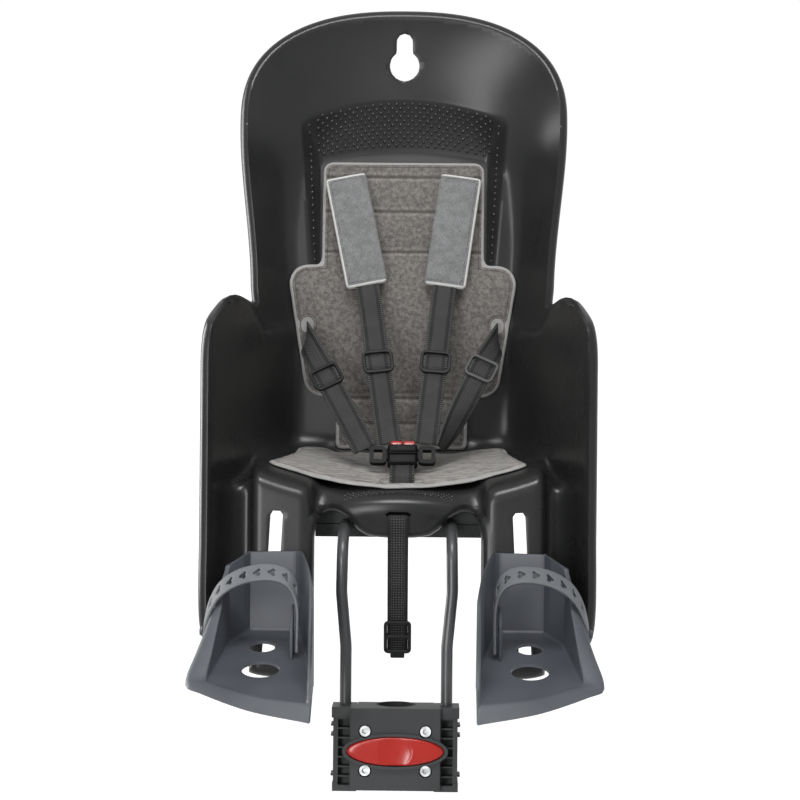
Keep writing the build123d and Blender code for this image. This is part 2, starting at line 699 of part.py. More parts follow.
under_pan = pan_level(crotch_y - 8, 0) - WALL - 0.4
anchor = box(BUCKLE_X - 18, BUCKLE_X + 18, crotch_y + 1.2, crotch_y + 8, under_pan - 4, under_pan)
anchor += box(BUCKLE_X - 18, BUCKLE_X + 18, crotch_y - 8, crotch_y - 1.2, under_pan - 4, under_pan)
anchor += box(BUCKLE_X - 18, BUCKLE_X - 13, crotch_y - 8, crotch_y + 8, under_pan - 4, under_pan)
anchor += box(BUCKLE_X + 13, BUCKLE_X + 18, crotch_y - 8, crotch_y + 8, under_pan - 4, under_pan)
write("crotch_anchor", anchor)

# Foot wells that slide on the leg plates
FOOT_BACK = PLATE_FRONT - FOOT_GAP
foot_plan = [(91, FOOT_BACK), (141.5, FOOT_BACK), (160, -20), (173, -108), (126, -138), (73.5, -153)]
foot_plan += [(74, -96), (78.7, -50)]
foot_in = [(94.2, FOOT_BACK - 3.2), (140.2, FOOT_BACK - 3.2), (157, -20.6)]
foot_in += [(169.6, -106.2), (125, -134.4), (76.7, -149), (77.2, -96.4), (81.8, -50.4)]
skirt_plan = [(90, FOOT_BACK), (149, FOOT_BACK), (168, -20), (177, -62), (188.8, -104)]
skirt_plan += [(183, -117.5), (130.5, -149), (72.5, -165), (73.2, -96), (78, -50)]
skirt_in = [(93.2, FOOT_BACK - 3), (147, FOOT_BACK - 3), (164.8, -20.6), (173.8, -62.6), (185.3, -103.2)]
skirt_in += [(180.8, -114.4), (129.6, -145.4), (75.7, -161.2), (76.4, -96.2), (81.2, -50.4)]
flange_plan = [(91, FOOT_BACK), (143, FOOT_BACK), (161.5, -20), (169.5, -62), (181.8, -101)]
flange_plan += [(176, -115), (126, -128), (73.5, -142), (74, -96), (78.7, -50)]
flange_in = [(94.2, FOOT_BACK - 3.2), (140.6, FOOT_BACK - 3.2), (158.4, -20.6), (166.3, -62.6), (178.2, -100.2)]
flange_in += [(174, -112), (125, -124.4), (76.7, -138), (77.2, -96.4), (81.8, -50.4)]
FLANGE_RISE = 44.0
SKIRT_DROP = 18.0
wide_plan = [(20, 90), (260, 90), (260, -260), (20, -260)]
under_spots = [(188, -112, -1.7), (130, -147, -7.6), (75, -163, -11.4)]


def floor_z(y):
    return FOOT_BACK_Z + (y - 7) * FOOT_SLOPE


def lifted(points, rise):
    return wire3([(x, y, floor_z(y) + rise) for x, y in points])


def foot_skirt(inside, outer_top, inner_top):
    """Flared skin that hangs from the well's edge, hollow from below."""
    skirt = ruled(lifted(skirt_plan, -SKIRT_DROP), lifted(flange_plan, FLANGE_RISE))
    hollow = ruled(lifted(skirt_in, -SKIRT_DROP - 0.5), lifted(flange_in, FLANGE_RISE + 0.5))
    lip = [(y, z - 3.2) for y, z in outer_top[:6]] + outer_top[6:]
    hollow -= side_prism(polygon(lip), 100.5, 260)
    skirt -= hollow
    skirt -= inside
    skirt -= side_prism(polygon(outer_top), 100.5, 260)
    skirt -= side_prism(polygon(inner_top), 40, 100.5)
    corners = [Vector(x, y, floor_z(y) + rise) for x, y, rise in under_spots]
    run = corners[0] - corners[2]
    up = run.cross(corners[1] - corners[2])
    up = up if up.Z > 0 else -up
    under = extrude(Plane(corners[1], x_dir=run, z_dir=up) * Rectangle(700, 700), -90)
    below_floor = ruled(lifted(wide_plan, -90), lifted(wide_plan, -3.4))
    return skirt - (under & below_floor)


def foot_well():
    """Right-hand foot well with its key through the leg plate."""
    walls = ruled(lifted(foot_plan, -1), lifted(foot_plan, 120))
    inside = ruled(lifted(foot_in, 0), lifted(foot_in, 121))
    walls -= inside
    brink = [(-112, floor_z(-112) + 0.4), (-200, floor_z(-200) + 0.4)]
    outer_top = [(40, 183), (6, 183), (-20, 172), (-106, 77), *brink, (-200, 300), (40, 300)]
    walls -= side_prism(polygon(outer_top), 100.5, 260)
    inner_top = [(40, 184), (6, 184), (-10, 182), (-96, 155), (-116, 140), (-140, 84), (-155, 60.5)]
    inner_top += [(-200, 46), (-200, 300), (40, 300)]
    walls -= side_prism(polygon(inner_top), 40, 100.5)
    floor = ruled(lifted(foot_plan, -3.4), lifted(foot_plan, 0.2))
    well = walls + floor + foot_skirt(inside, outer_top, inner_top)
    for x, y, r in ((125, -30, 12.5), (123, -80, 17.5)):
        well -= rod((x, y, floor_z(y) - 40), (x, y, floor_z(y) + 12), r)
    well += box(94.8, 98.2, STRAP_Y - 8, STRAP_Y + 8, floor_z(STRAP_Y) - 2, 120)
    well += rod((162, STRAP_Y, PEG_Z), (180, STRAP_Y, PEG_Z), 3.4)
    well += rod((179.2, STRAP_Y, PEG_Z), (182, STRAP_Y, PEG_Z), 5.2)
    neck_x = SLOT_X - (KEY_Z - slot_mid) * splay
    neck = Plane((neck_x, PLATE_FRONT + WALL + 0.35, KEY_Z), x_dir=(1, 0, 0), z_dir=(0, -1, 0))
    turn = Rot(0, 0, SLOT_SPLAY)
    well += extrude(neck * turn * Rectangle(2 * SLOT_HALF - 0.8, 26), WALL + 4)
    well += extrude(neck * turn * Rectangle(20, 34), -4)
    return well


STRAP_Y = -50.0
STRAP_SLOPE = 0.9
PEG_Z = 113.0
foot = foot_well()
write("footrest_right", foot)
write("footrest_left", mirror(foot, Plane.YZ))

# Foot straps over the wells
strap_points = [
    (91.6, 98),
    (91.4, 122),
    (95, 146),
    (106, 162),
    (124, 168),
    (144, 165.5),
    (161, 157),
    (173, 135),
    (178, 116),
    (178.4, 104),
]


def foot_strap():
    outer = Spline(*strap_points)
    inner_points = []
    for step in range(13):
        t = step / 12
        spot = outer @ t
        run = outer % t
        inner_points.append((spot.X + run.Y * 2.4, spot.Y - run.X * 2.4))
    inner = Spline(*inner_points)
    ends = [Line(outer @ 1, inner @ 1), Line(inner @ 0, outer @ 0)]
    face = make_face(Curve() + [outer, ends[0], inner, ends[1]])
    low = Plane((0, STRAP_Y - 7.5, -7.5 * STRAP_SLOPE), x_dir=(1, 0, 0), z_dir=(0, -1, 0)) * face
    band = extrude(low, 15 * math.hypot(1, STRAP_SLOPE), dir=(0, 1, STRAP_SLOPE))
    return band - rod((170, STRAP_Y, PEG_Z), (190, STRAP_Y, PEG_Z), 3.9)


strap = foot_strap()
write("foot_strap_right", strap)
write("foot_strap_left", mirror(strap, Plane.YZ))
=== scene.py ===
"""Child bike seat: a moulded bucket on a steel bow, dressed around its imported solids."""

import math

import bmesh
import bpy
import numpy as np
from mathutils import Matrix, Vector


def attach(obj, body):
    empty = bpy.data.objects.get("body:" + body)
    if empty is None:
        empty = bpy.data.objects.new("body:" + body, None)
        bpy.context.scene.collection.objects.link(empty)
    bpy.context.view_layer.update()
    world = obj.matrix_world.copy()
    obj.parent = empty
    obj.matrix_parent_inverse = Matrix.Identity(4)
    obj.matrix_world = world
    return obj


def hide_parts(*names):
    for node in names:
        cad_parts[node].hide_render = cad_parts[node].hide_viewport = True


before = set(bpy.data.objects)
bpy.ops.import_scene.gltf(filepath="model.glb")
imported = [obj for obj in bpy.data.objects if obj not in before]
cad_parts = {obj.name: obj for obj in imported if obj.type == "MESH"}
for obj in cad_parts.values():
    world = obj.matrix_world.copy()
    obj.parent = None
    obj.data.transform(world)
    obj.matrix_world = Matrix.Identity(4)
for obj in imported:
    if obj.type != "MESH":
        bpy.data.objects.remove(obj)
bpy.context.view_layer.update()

# Seat shell
# One blow-moulded bucket of charcoal polypropylene, about 4 mm thick, with rolled rims.
# It is drawn square to the seat tube, in millimetres, and leaned back onto the bike at the end.
MM = 0.001
TUBE_LEAN = math.radians(17.0)
LEAN = Matrix.Rotation(-TUBE_LEAN, 4, "X") @ Matrix.Scale(MM, 4)
SIDES = (("left", -1), ("right", 1))


class Tone:
    """One socket of a finish; arithmetic on it adds Math nodes to the finish."""

    def __init__(self, tree, socket):
        self.tree = tree
        self.socket = socket

    def node(self, kind, settings, sockets, out=0):
        made = self.tree.nodes.new(kind)
        for name, value in settings.items():
            setattr(made, name, value)
        for key, value in sockets.items():
            if isinstance(value, Tone):
                self.tree.links.new(value.socket, made.inputs[key])
            else:
                made.inputs[key].default_value = value
        return Tone(self.tree, made.outputs[out])

    def math(self, operation, *values):
        return self.node("ShaderNodeMath", {"operation": operation}, dict(enumerate(values)))

    def __add__(self, other):
        return self.math("ADD", self, other)

    __radd__ = __add__

    def __sub__(self, other):
        return self.math("SUBTRACT", self, other)

    def __rsub__(self, other):
        return self.math("SUBTRACT", other, self)

    def __mul__(self, other):
        return self.math("MULTIPLY", self, other)

    __rmul__ = __mul__

    def __truediv__(self, other):
        return self.math("DIVIDE", self, other)

    def noise(self, scale, detail=2.0):
        sockets = {"Vector": self, "Scale": scale, "Detail": detail}
        return self.node("ShaderNodeTexNoise", {}, sockets)

    def stretched(self, across, along):
        return self.node("ShaderNodeMapping", {}, {"Vector": self, "Scale": (across, along, 1.0)})

    def attribute(self, name):
        return self.node("ShaderNodeAttribute", {"attribute_name": name}, {}, out="Fac")

    def cut_map(self):
        return self.node("ShaderNodeUVMap", {"uv_map": "cut"}, {})

    def part(self, axis):
        return self.node("ShaderNodeSeparateXYZ", {}, {"Vector": self}, out=axis)

    def ramp(self, low, high):
        sockets = {"Value": self, "From Min": low, "From Max": high}
        return self.node("ShaderNodeMapRange", {"interpolation_type": "SMOOTHSTEP"}, sockets)

    def line(self, level, inner, outer):
        """One near a level, nought away from it."""
        return 1 - self.math("ABSOLUTE", self - level).ramp(inner, outer)

    def wave(self):
        """A zigzag that rises to one and falls to nought once in each unit."""
        share = self.math("FRACT", self)
        return 1 - 2 * share.math("ABSOLUTE", share - 0.5)

    def tint(self, dark, light):
        """From dark to light, each a colour or another tone."""
        ends = [end if isinstance(end, Tone) else (*end, 1.0) for end in (dark, light)]
        sockets = {"Factor": self, 6: ends[0], 7: ends[1]}
        return self.node("ShaderNodeMix", {"data_type": "RGBA"}, sockets, out=2)

    def bump(self, strength, distance):
        sockets = {"Height": self, "Strength": strength, "Distance": distance}
        return self.node("ShaderNodeBump", {}, sockets)


def start_finish(name):
    """A new material, its shader, and the place of each point on the piece in metres."""
    material = bpy.data.materials.new(name)
    material.use_nodes = True
    tree = material.node_tree
    shader = tree.nodes["Principled BSDF"]
    place = Tone(tree, tree.nodes.new("ShaderNodeTexCoord").outputs["Object"])
    return material, shader, place


def feed(shader, **values):
    """Link tones to the shader's sockets, and set plain values on them."""
    for name, value in values.items():
        socket = shader.inputs[name.replace("_", " ")]
        if isinstance(value, Tone):
            value.tree.links.new(value.socket, socket)
        else:
            socket.default_value = value


def moulded(name, dark, light, rough, grain=1500.0, gloss=0.25):
    """Injection moulding with a fine spark-eroded grain and faint cloudy handling marks."""
    material, shader, place = start_finish(name)
    cloud = place.noise(9.0, 4.0).ramp(0.35, 0.65)
    fine = place.noise(grain, 1.0)
    feed(
        shader,
        Base_Color=cloud.tint(dark, light),
        Roughness=rough + 0.06 * cloud - 0.05 * fine,
        Normal=fine.bump(0.35, 0.00012),
        Specular_IOR_Level=gloss,
    )
    return material


def piece(bm, name, material, slot, body, *nodes, sharp=38.0, lean=True):
    """Lean a finished mesh onto the bike, name it, and let it ride on its body."""
    if lean:
        bmesh.ops.transform(bm, matrix=LEAN, verts=bm.verts)
    mesh = bpy.data.meshes.new(name)
    bm.to_mesh(mesh)
    bm.free()
    mesh.shade_smooth()
    mesh.set_sharp_from_angle(angle=math.radians(sharp))
    mesh.materials.append(material)
    made = bpy.data.objects.new(name, mesh)
    bpy.context.scene.collection.objects.link(made)
    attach(made, body)
    if nodes:
        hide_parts(*nodes)
    return made


def thicken(made, thickness, offset):
    wall = made.modifiers.new("wall", "SOLIDIFY")
    wall.thickness = thickness * MM
    wall.offset = offset


def edge_rounding(made, width, segments=2, angle=40.0, harden=True):
    rounding = made.modifiers.new("edge_rounding", "BEVEL")
    rounding.width = width * MM
    rounding.segments = segments
    rounding.limit_method = "ANGLE"
    rounding.angle_limit = math.radians(angle)
    rounding.harden_normals = harden


def smooth_max(a, b, k):
    h = np.maximum(k - np.abs(a - b), 0.0) / k
    return np.maximum(a, b) + h * h * k / 4


def smooth_min(a, b, k):
    return -smooth_max(-a, -b, k)


def ease(t):
    t = np.clip(t, 0.0, 1.0)
    return t * t * (3 - 2 * t)


CROWN_LEVEL = 625.0
CROWN_TALL = 118.5
CROWN_HALF = 172.0
CROWN_POWER = 2.42
CROWN_TURN = 0.826
RECESS_DEEP = 24.0
RECESS_FOOT = 430.0
RECESS_RUN = 168.0


def back_half(z):
    return 158.8 + 13.2 * ease((z - 440) / 185)


def back_plane(z):
    return 243 + 0.03 * (z - 300)


def back_panel(a, z):
    """Depth of the back: a plain panel, a forward rim and the recess behind the cushion."""
    above = np.maximum(z - CROWN_LEVEL, 0) / CROWN_TALL
    ring = (a / back_half(z)) ** CROWN_POWER + above**CROWN_POWER
    ring = np.minimum(ring ** (1 / CROWN_POWER), 1.06)
    hollow = ease((z - 560) / 110)
    start = 0.72 - 0.10 * ease((z - 480) / 130) - 0.46 * hollow
    rise = 62 - 38 * ease((z - 560) / 180)
    rim = rise * np.clip((ring - start) / (0.965 - start), 0, 1) ** (1.7 + 0.7 * hollow)
    return back_plane(z) - rim + recess_depth(a, z)


def recess_faces(a, z):
    """Shares of the way down the recess's side face and its arched top face."""
    outer = 96 + 14 * (z - 436) / 191
    inner = 88 + 3 * (z - 436) / 151
    top = 651 - 24 * (a / 110) ** 2
    low = 598 - 11 * (a / 91) ** 2
    return (outer - a) / (outer - inner), (top - z) / (top - low)


def recess_floor(z):
    return RECESS_DEEP * np.maximum(z - RECESS_FOOT, 0) / RECESS_RUN


def recess_depth(a, z):
    side, top = recess_faces(a, z)
    share = smooth_min(smooth_max(smooth_min(side, top, 0.22), 0.0, 0.03), 1.0, 0.05)
    return recess_floor(z) * share


PAN_LEVEL = 240
PAN_FRONT = 50
PAN_SLOPE = 0.15
WING_HALF = 180
WING_SPLAY = 0.2045
WING_TOP = 427
PLATE_FRONT = 12
PLATE_IN = 83
PLATE_OUT = 141
NOSE_FRONT = 32
NOSE_HALF = 84
VALLEY_FRONT = 54
EAR_PLACES = [143.5, 148, 151, 154, 156.5, 159, 161.5, 190]
EAR_LEVELS = [402, 413.2, 420.5, 426.8, 429.2, 430.8, 434, 446]


def pan_top(y, a):
    dish = 22 - 18 * np.clip((y - PAN_FRONT) / 185, 0, 1)
    return PAN_LEVEL + PAN_SLOPE * (y - PAN_FRONT) + dish * (a / 127) ** 2


def wing_tip(z):
    return -9 - (WING_TOP - z) * 0.012


def wing_wall(y, z):
    """Inner face of a side wall, as a distance from the middle of the seat."""
    return WING_HALF - (y - wing_tip(z)) * WING_SPLAY


def shell_gap(x, y, z):
    """Free distance in front of the shell: positive before it, negative behind it."""
    a = np.sqrt(x * x + 1)
    pan = z - pan_top(y, a)
    back = (back_panel(a, z) - y) * 0.75
    plate = smooth_max(pan, PLATE_FRONT - y, 16)
    plate = smooth_max(plate, smooth_max(PLATE_IN - a, a - PLATE_OUT, 1), 10)
    spread = (a / 80) ** 2
    lip = NOSE_FRONT + 14 * spread + np.maximum(233 - z, 0) ** 2 * 0.009
    nose = smooth_max(pan + 22 * spread, lip - y, 18)
    nose = smooth_max(nose, a - NOSE_HALF, 6)
    valley = smooth_max(pan + 6 + 1.3 * np.maximum(a - 138, 0), VALLEY_FRONT - y, 14)
    wall = (wing_wall(y, z) - a) * 0.98
    crown = z - np.interp(a, EAR_PLACES, EAR_LEVELS)
    wing = smooth_max(smooth_max(wall, wing_tip(z) - y, 14), crown, 5)
    gap = smooth_min(back, smooth_min(plate, valley, 12), 26)
    return smooth_min(smooth_min(gap, nose, 10), wing, 24 - 18 * ease((z - 395) / 20))


def search(is_free, free, solid):
    """Halve the way from a free place to a solid one until it ends on the surface."""
    for _ in range(40):
        middle = (free + solid) / 2
        clear = is_free(middle)
        free = np.where(clear, middle, free)
        solid = np.where(clear, solid, middle)
    return (free + solid) / 2


def shell_depth(x, z):
    return search(lambda y: shell_gap(x, y, z) > 0, np.full_like(x, -60.0), np.full_like(x, 330.0))


def shell_level(x, y):
    return search(lambda z: shell_gap(x, y, z) > 0, np.full_like(x, 330.0), np.full_like(x, 190.0))


def bent_line(points, steps=8):
    """Smooth line through a few points."""
    ends = [points[0], *points, points[-1]]
    line = []
    for k in range(1, len(ends) - 2):
        p, q, r, s = (np.array(ends[k + j], float) for j in (-1, 0, 1, 2))
        bend = 2 * p - 5 * q + 4 * r - s
        twist = 3 * q - p - 3 * r + s
        for t in np.linspace(0, 1, steps, endpoint=False):
            line.append(0.5 * (2 * q + (r - p) * t + bend * t**2 + twist * t**3))
    return line + [np.array(points[-1], float)]


def off_polygon(points, x, z):
    """Signed distance to a polygon, negative inside it."""
    p = np.stack([x, z], -1)
    nearest = np.full(len(x), 1e9)
    inside = np.zeros(len(x), bool)
    for a, b in zip(points, np.roll(points, -1, 0)):
        run = b - a
        share = np.clip((p - a) @ run / max(run @ run, 1e-9), 0, 1)
        nearest = np.minimum(nearest, np.linalg.norm(p - a - share[:, None] * run, axis=1))
        crosses = (a[1] > z) != (b[1] > z)
        level = a[0] + (z - a[1]) * run[0] / (run[1] if run[1] else 1e-9)
        inside ^= crosses & (x < level)
    return np.where(inside, -nearest, nearest)


def off_slot(x, z, half_x, half_z, corner):
    """Signed distance to a rounded rectangle round the origin, positive outside it."""
    u = np.abs(x) - half_x + corner
    v = np.abs(z) - half_z + corner
    return np.hypot(np.maximum(u, 0), np.maximum(v, 0)) + np.minimum(np.maximum(u, v), 0) - corner


turns = np.linspace(0, math.pi / 2, 40)
crown_line = [
    (CROWN_HALF * math.sin(t) ** CROWN_TURN, CROWN_LEVEL + CROWN_TALL * math.cos(t) ** CROWN_TURN)
    for t in turns
]
side_line = [(back_half(z) - 1.2 * ease((446 - z) / 16), z) for z in np.linspace(618, 434, 26)]
ear_points = [(157.6, 430.4), (161, 431.6), (165, 432), (170.5, 430), (174.6, 426.8)]
ear_points += [(180.4, 416.5), (186.3, 401), (189.2, 378), (189.5, 345)]
leg_points = [(189.3, 200), (188, 111), (172, 80), (140, 65), (108, 62), (90, 70), (80, 86)]
arch_points = [(80, 196), (78.5, 209), (74, 216.5), (66, 219.5), (57, 218)]
arch_points += [(47, 212), (41, 204), (33, 198), (20, 195.3), (0, 194.6)]
half_line = [*crown_line, *side_line, *bent_line(ear_points), *bent_line(leg_points), *bent_line(arch_points)]
half_line = np.array(half_line)
outline = np.vstack([half_line, half_line[::-1] * (-1, 1)])

RIM_ROLL = 8.5
RIM_BACK = 10.0
ROLL_STEPS = 6
SHELL_WALL = 3.8
LEG_SLOT = (119.5, 151)
LEG_SPLAY = math.radians(3)
SHOULDER_MOUTH = (61, 563.5)
WAIST_MOUTH = (101, 414)


def off_shell(x, z):
    """Signed distance to the shell inside its rolled rim, less its keyhole, slots and strap mouths."""
    a = np.abs(x)
    off_x = a - LEG_SLOT[0]
    off_z = z - LEG_SLOT[1]
    along = off_x * math.cos(LEG_SPLAY) + off_z * math.sin(LEG_SPLAY)
    up = off_z * math.cos(LEG_SPLAY) - off_x * math.sin(LEG_SPLAY)
    holes = [
        np.hypot(x, z - 686) - 15.7,
        off_slot(x, z - 702.75, 8.5, 16.25, 8.4),
        off_slot(along, up, 6, 71, 2.5),
        off_slot(a - SHOULDER_MOUTH[0], z - SHOULDER_MOUTH[1], 15.5, 4.5, 2),
        off_slot(a - WAIST_MOUTH[0], z - WAIST_MOUTH[1], 4.5, 16, 2),
        off_slot(x, z - 217.6, 13, 3.2, 2.5),
    ]
    return np.maximum(off_polygon(outline, x, z) + RIM_ROLL, -np.minimum.reduce(holes))


def follow_forms(x, z):
    """Bend the shell's grid so that its lines run along the ears' crests and the recess's edges."""
    a = np.abs(x)
    to_crest = np.interp(a, [115, 143.5, 148, 151, 154, 156.5, 159], [0, -28.8, -17.6, -10.3, -4, -1.6, 0])
    to_arch = -24 * (np.minimum(a, 112) / 110) ** 2 * np.interp(a, [112, 165], [1, 0])
    z = z + to_crest * np.interp(z, [350, 430.8, 520], [0, 1, 0])
    z = z + to_arch * np.interp(z, [540, 598, 651, 720], [0, 0.67, 1, 0])
    to_side = 14 * (np.clip(z, 436, 640) - 436) / 191 * np.interp(z, [640, 700], [1, 0])
    return np.sign(x) * (a + to_side * np.interp(a, [60, 88, 96, 140], [0, 0.27, 1, 0])), z


def trimmed(columns, rows, off, bend=None):
    """A grid cut to a flat shape: its mesh, and each point's place across and along it."""
    bm = bmesh.new()
    bmesh.ops.create_grid(bm, x_segments=len(columns) - 1, y_segments=len(rows) - 1, size=1.0)
    flat = np.array([v.co for v in bm.verts])
    u = np.interp((flat[:, 0] + 1) / 2 * (len(columns) - 1), np.arange(len(columns)), columns)
    v = np.interp((flat[:, 1] + 1) / 2 * (len(rows) - 1), np.arange(len(rows)), rows)
    if bend:
        u, v = bend(u, v)
    lost = off(u, v)
    snapped = np.zeros(len(u), bool)
    for edge in bm.edges:
        i, j = (corner.index for corner in edge.verts)
        if lost[i] * lost[j] < 0:
            snapped[i if abs(lost[i]) < abs(lost[j]) else j] = True
    for _ in range(3):
        su, sv = u[snapped], v[snapped]
        here = off(su, sv)
        slope_u = (off(su + 0.02, sv) - here) / 0.02
        slope_v = (off(su, sv + 0.02) - here) / 0.02
        steep = np.maximum(slope_u**2 + slope_v**2, 0.25)
        u[snapped] = su - here * slope_u / steep
        v[snapped] = sv - here * slope_v / steep
    outside = (lost > 0) & ~snapped
    for face in list(bm.faces):
        kept = [corner for corner in face.verts if not outside[corner.index]]
        if len(kept) == 3:
            bm.faces.new(kept)
        if len(kept) < 4:
            bm.faces.remove(face)
    kept = np.array([bool(corner.link_faces) for corner in bm.verts])
    bmesh.ops.delete(bm, geom=[corner for corner in bm.verts if not corner.link_faces], context="VERTS")
    return bm, u[kept], v[kept]


def place_points(bm, x, y, z):
    for corner, place in zip(bm.verts, zip(x, y, z)):
        corner.co = place


def points_of(geometry):
    return [item for item in geometry if isinstance(item, bmesh.types.BMVert)]


half_columns = [0, 5, 9, 13, 17, 22, 28, 34, 40, 45, 49, 53, 57, 60, 63, 66, 69, 72, 75, 77, 78.5]
half_columns += [80, 81.2, 82.4, 83.6, 85, 87.3, 88.7, 92, 95.2, 96.8, 100, 104, 108, 112.5, 116, 119.5]
half_columns += [123, 126.5, 130, 133, 136, 138.5, 140.5, 142.5, 144.3, 146, 147.6, 149.2, 150.8, 152.4]
half_columns += [154, 155.6, 157.2, 158.8, 160.4, 162, 163.7, 165.5, 168, 170.5, 173, 175, 177, 179]
half_columns += [181, 183, 185, 187, 188.5, 190]
columns = np.array([-c for c in half_columns[:0:-1]] + half_columns, float)
rows = [np.arange(58, 186, 5.0), np.arange(188, 226, 3.0), np.arange(228, 292, 2.2), np.arange(294, 400, 5.0)]
rows += [np.arange(402, 428, 2.2), [428.6, 430.2, 431.4, 433.2], np.arange(435.4, 446, 2.2)]
rows += [np.arange(448, 580, 4.4), np.arange(582, 596, 3.0), [597.3, 598.7], np.arange(601, 649, 3.0)]
rows += [[650.2, 651.8], np.arange(654, 660, 3.0), np.arange(663, 748, 3.6)]
shell_bm, x, z = trimmed(columns, np.concatenate(rows), off_shell, follow_forms)
place_points(shell_bm, x, shell_depth(x, z), z)
out_x = shell_bm.verts.layers.float.new("out_x")
out_z = shell_bm.verts.layers.float.new("out_z")
reach = off_polygon(outline, x, z)
lean_x = off_polygon(outline, x + 0.2, z) - off_polygon(outline, x - 0.2, z)
lean_z = off_polygon(outline, x, z + 0.2) - off_polygon(outline, x, z - 0.2)
steep = np.maximum(np.hypot(lean_x, lean_z), 1e-6)
for corner, way_x, way_z in zip(shell_bm.verts, lean_x / steep, lean_z / steep):
    corner[out_x] = way_x
    corner[out_z] = way_z
shell_bm.verts.index_update()
on_rim = reach > -RIM_ROLL - 1.5
rim_edges = [edge for edge in shell_bm.edges if edge.is_boundary]
rim_edges = [edge for edge in rim_edges if all(on_rim[corner.index] for corner in edge.verts)]
for step in range(ROLL_STEPS):
    begin = math.pi / 2 * step / ROLL_STEPS
    finish = math.pi / 2 * (step + 1) / ROLL_STEPS
    wider = RIM_ROLL * (math.sin(finish) - math.sin(begin))
    deeper = RIM_BACK * (math.cos(begin) - math.cos(finish))
    grown = bmesh.ops.extrude_edge_only(shell_bm, edges=rim_edges)["geom"]
    for corner in points_of(grown):
        corner.co += Vector((corner[out_x] * wider, deeper, corner[out_z] * wider))
    rim_edges = [item for item in grown if isinstance(item, bmesh.types.BMEdge) and item.is_boundary]
    rim_edges = [edge for edge in rim_edges if all(len(corner.link_edges) >= 3 for corner in edge.verts)]
charcoal = moulded("charcoal_moulding", (0.0200, 0.0207, 0.0203), (0.0245, 0.0254, 0.0248), 0.29, gloss=0.17)
shell = piece(shell_bm, "bucket_shell", charcoal, "shell_plastic", "seat", "seat_shell")
thicken(shell, SHELL_WALL, -1.0)
edge_rounding(shell, 1.1, angle=55.0, harden=False)

# Screw bosses
# Four round posts moulded under the pan, each with a hole for a carrier screw.
# Only their ends show, from below.
BOSS_RADIUS = 8.0
BOSS_TALL = 11.2
BOSS_DROP = -8.4
PAN_TILT = Matrix.Translation((0, PAN_FRONT, PAN_LEVEL)) @ Matrix.Rotation(math.atan(PAN_SLOPE), 4, "X")
boss_bm = bmesh.new()
for boss_x in (-68, 68):
    for boss_v in (52, 118):
        bmesh.ops.create_cone(
            boss_bm,
            cap_ends=True,
            segments=32,
            radius1=BOSS_RADIUS,
            radius2=BOSS_RADIUS + 0.8,
            depth=BOSS_TALL,
            matrix=PAN_TILT @ Matrix.Translation((boss_x, boss_v, BOSS_DROP)),
        )
piece(boss_bm, "screw_bosses", charcoal, "shell_plastic", "seat")

# Side skirts
# Below the pan each side wall runs on as a skirt, deep at the leg plate and fading out at the back.
# They are part of the shell's moulding, so they lap the walls and lie flush with them.
SKIRT_POINTS = [(24, 116), (42, 121), (55, 136), (64, 160), (84, 196), (125, 234)]
SKIRT_POINTS += [(165, 252), (195, 272), (210, 292)]
SKIRT_LAP = 26.0
SKIRT_INSET = 0.6
SKIRT_WALL = 3.4


def grid_step(share, count):
    """Number of a grid's row or column, from its place between minus one and one."""
    return round((share + 1) / 2 * (count - 1))


skirt_edge = bent_line(SKIRT_POINTS)
for side, hand in SIDES:
    skirt_bm = bmesh.new()
    bmesh.ops.create_grid(skirt_bm, x_segments=len(skirt_edge) - 1, y_segments=4, size=1.0)
    for corner in skirt_bm.verts:
        y, low = skirt_edge[grid_step(corner.co.x, len(skirt_edge))]
        top = float(pan_top(y, wing_wall(y, WING_TOP))) + SKIRT_LAP
        z = low + (top - low) * (corner.co.y + 1) / 2
        corner.co = (hand * (wing_wall(y, z) + SKIRT_INSET), y, z)
    if hand < 0:
        bmesh.ops.reverse_faces(skirt_bm, faces=skirt_bm.faces)
    skirt = piece(skirt_bm, f"side_skirt_{side}", charcoal, "shell_plastic", "seat", "seat_shell")
    thicken(skirt, SKIRT_WALL, 1.0)

# Raised domes
# Rows of small moulded domes roughen the sloping faces of the recess and the front lip of the pan.
# They are moulded with the shell, of the same plastic; their finish is a slightly lighter, glossier copy of
# the charcoal, whose lighter colour is painted highlight.
DOME_PITCH = 8.4
LIP_PITCH = 5.2
DOME_RADIUS = 2.0
DOME_SUNK = 0.7
LIP_SUNK = 1.5
DOMES_AT_ONCE = 24


def dome_rows(first, last, half, pitch):
    spots = []
    for row, level in enumerate(np.arange(first, last, pitch / 2)):
        start = pitch / 2 * (row % 2) - pitch * 22
        spots += [(across, level) for across in np.arange(start, half, pitch) if abs(across) < half]
    return np.array(spots).T


def merge(bm, extra):
    """Move all of another mesh into this one."""
    carrier = bpy.data.meshes.new("carrier")
    extra.to_mesh(carrier)
    extra.free()
    bm.from_mesh(carrier)
    bpy.data.meshes.remove(carrier)


dome_bm = bmesh.new()
dome_x, dome_z = follow_forms(*dome_rows(470, 652, 110, DOME_PITCH))
side_share, top_share = recess_faces(np.abs(dome_x), dome_z)
share = np.minimum(side_share, top_share)
on_face = (share > 0.06) & (share < 0.94) & (np.abs(side_share - top_share) > 0.1)
lip_x, lip_y = dome_rows(47, 57, 53, LIP_PITCH)
spots = np.column_stack([dome_x, shell_depth(dome_x, dome_z) + DOME_SUNK, dome_z])[on_face]
lip_spots = np.column_stack([lip_x, lip_y, shell_level(lip_x, lip_y) - LIP_SUNK])
all_spots = [*spots, *lip_spots]
for first in range(0, len(all_spots), DOMES_AT_ONCE):
    few_bm = bmesh.new()
    for spot in all_spots[first:first + DOMES_AT_ONCE]:
        place = Matrix.Translation(spot)
        bmesh.ops.create_uvsphere(few_bm, u_segments=8, v_segments=6, radius=DOME_RADIUS, matrix=place)
    merge(dome_bm, few_bm)
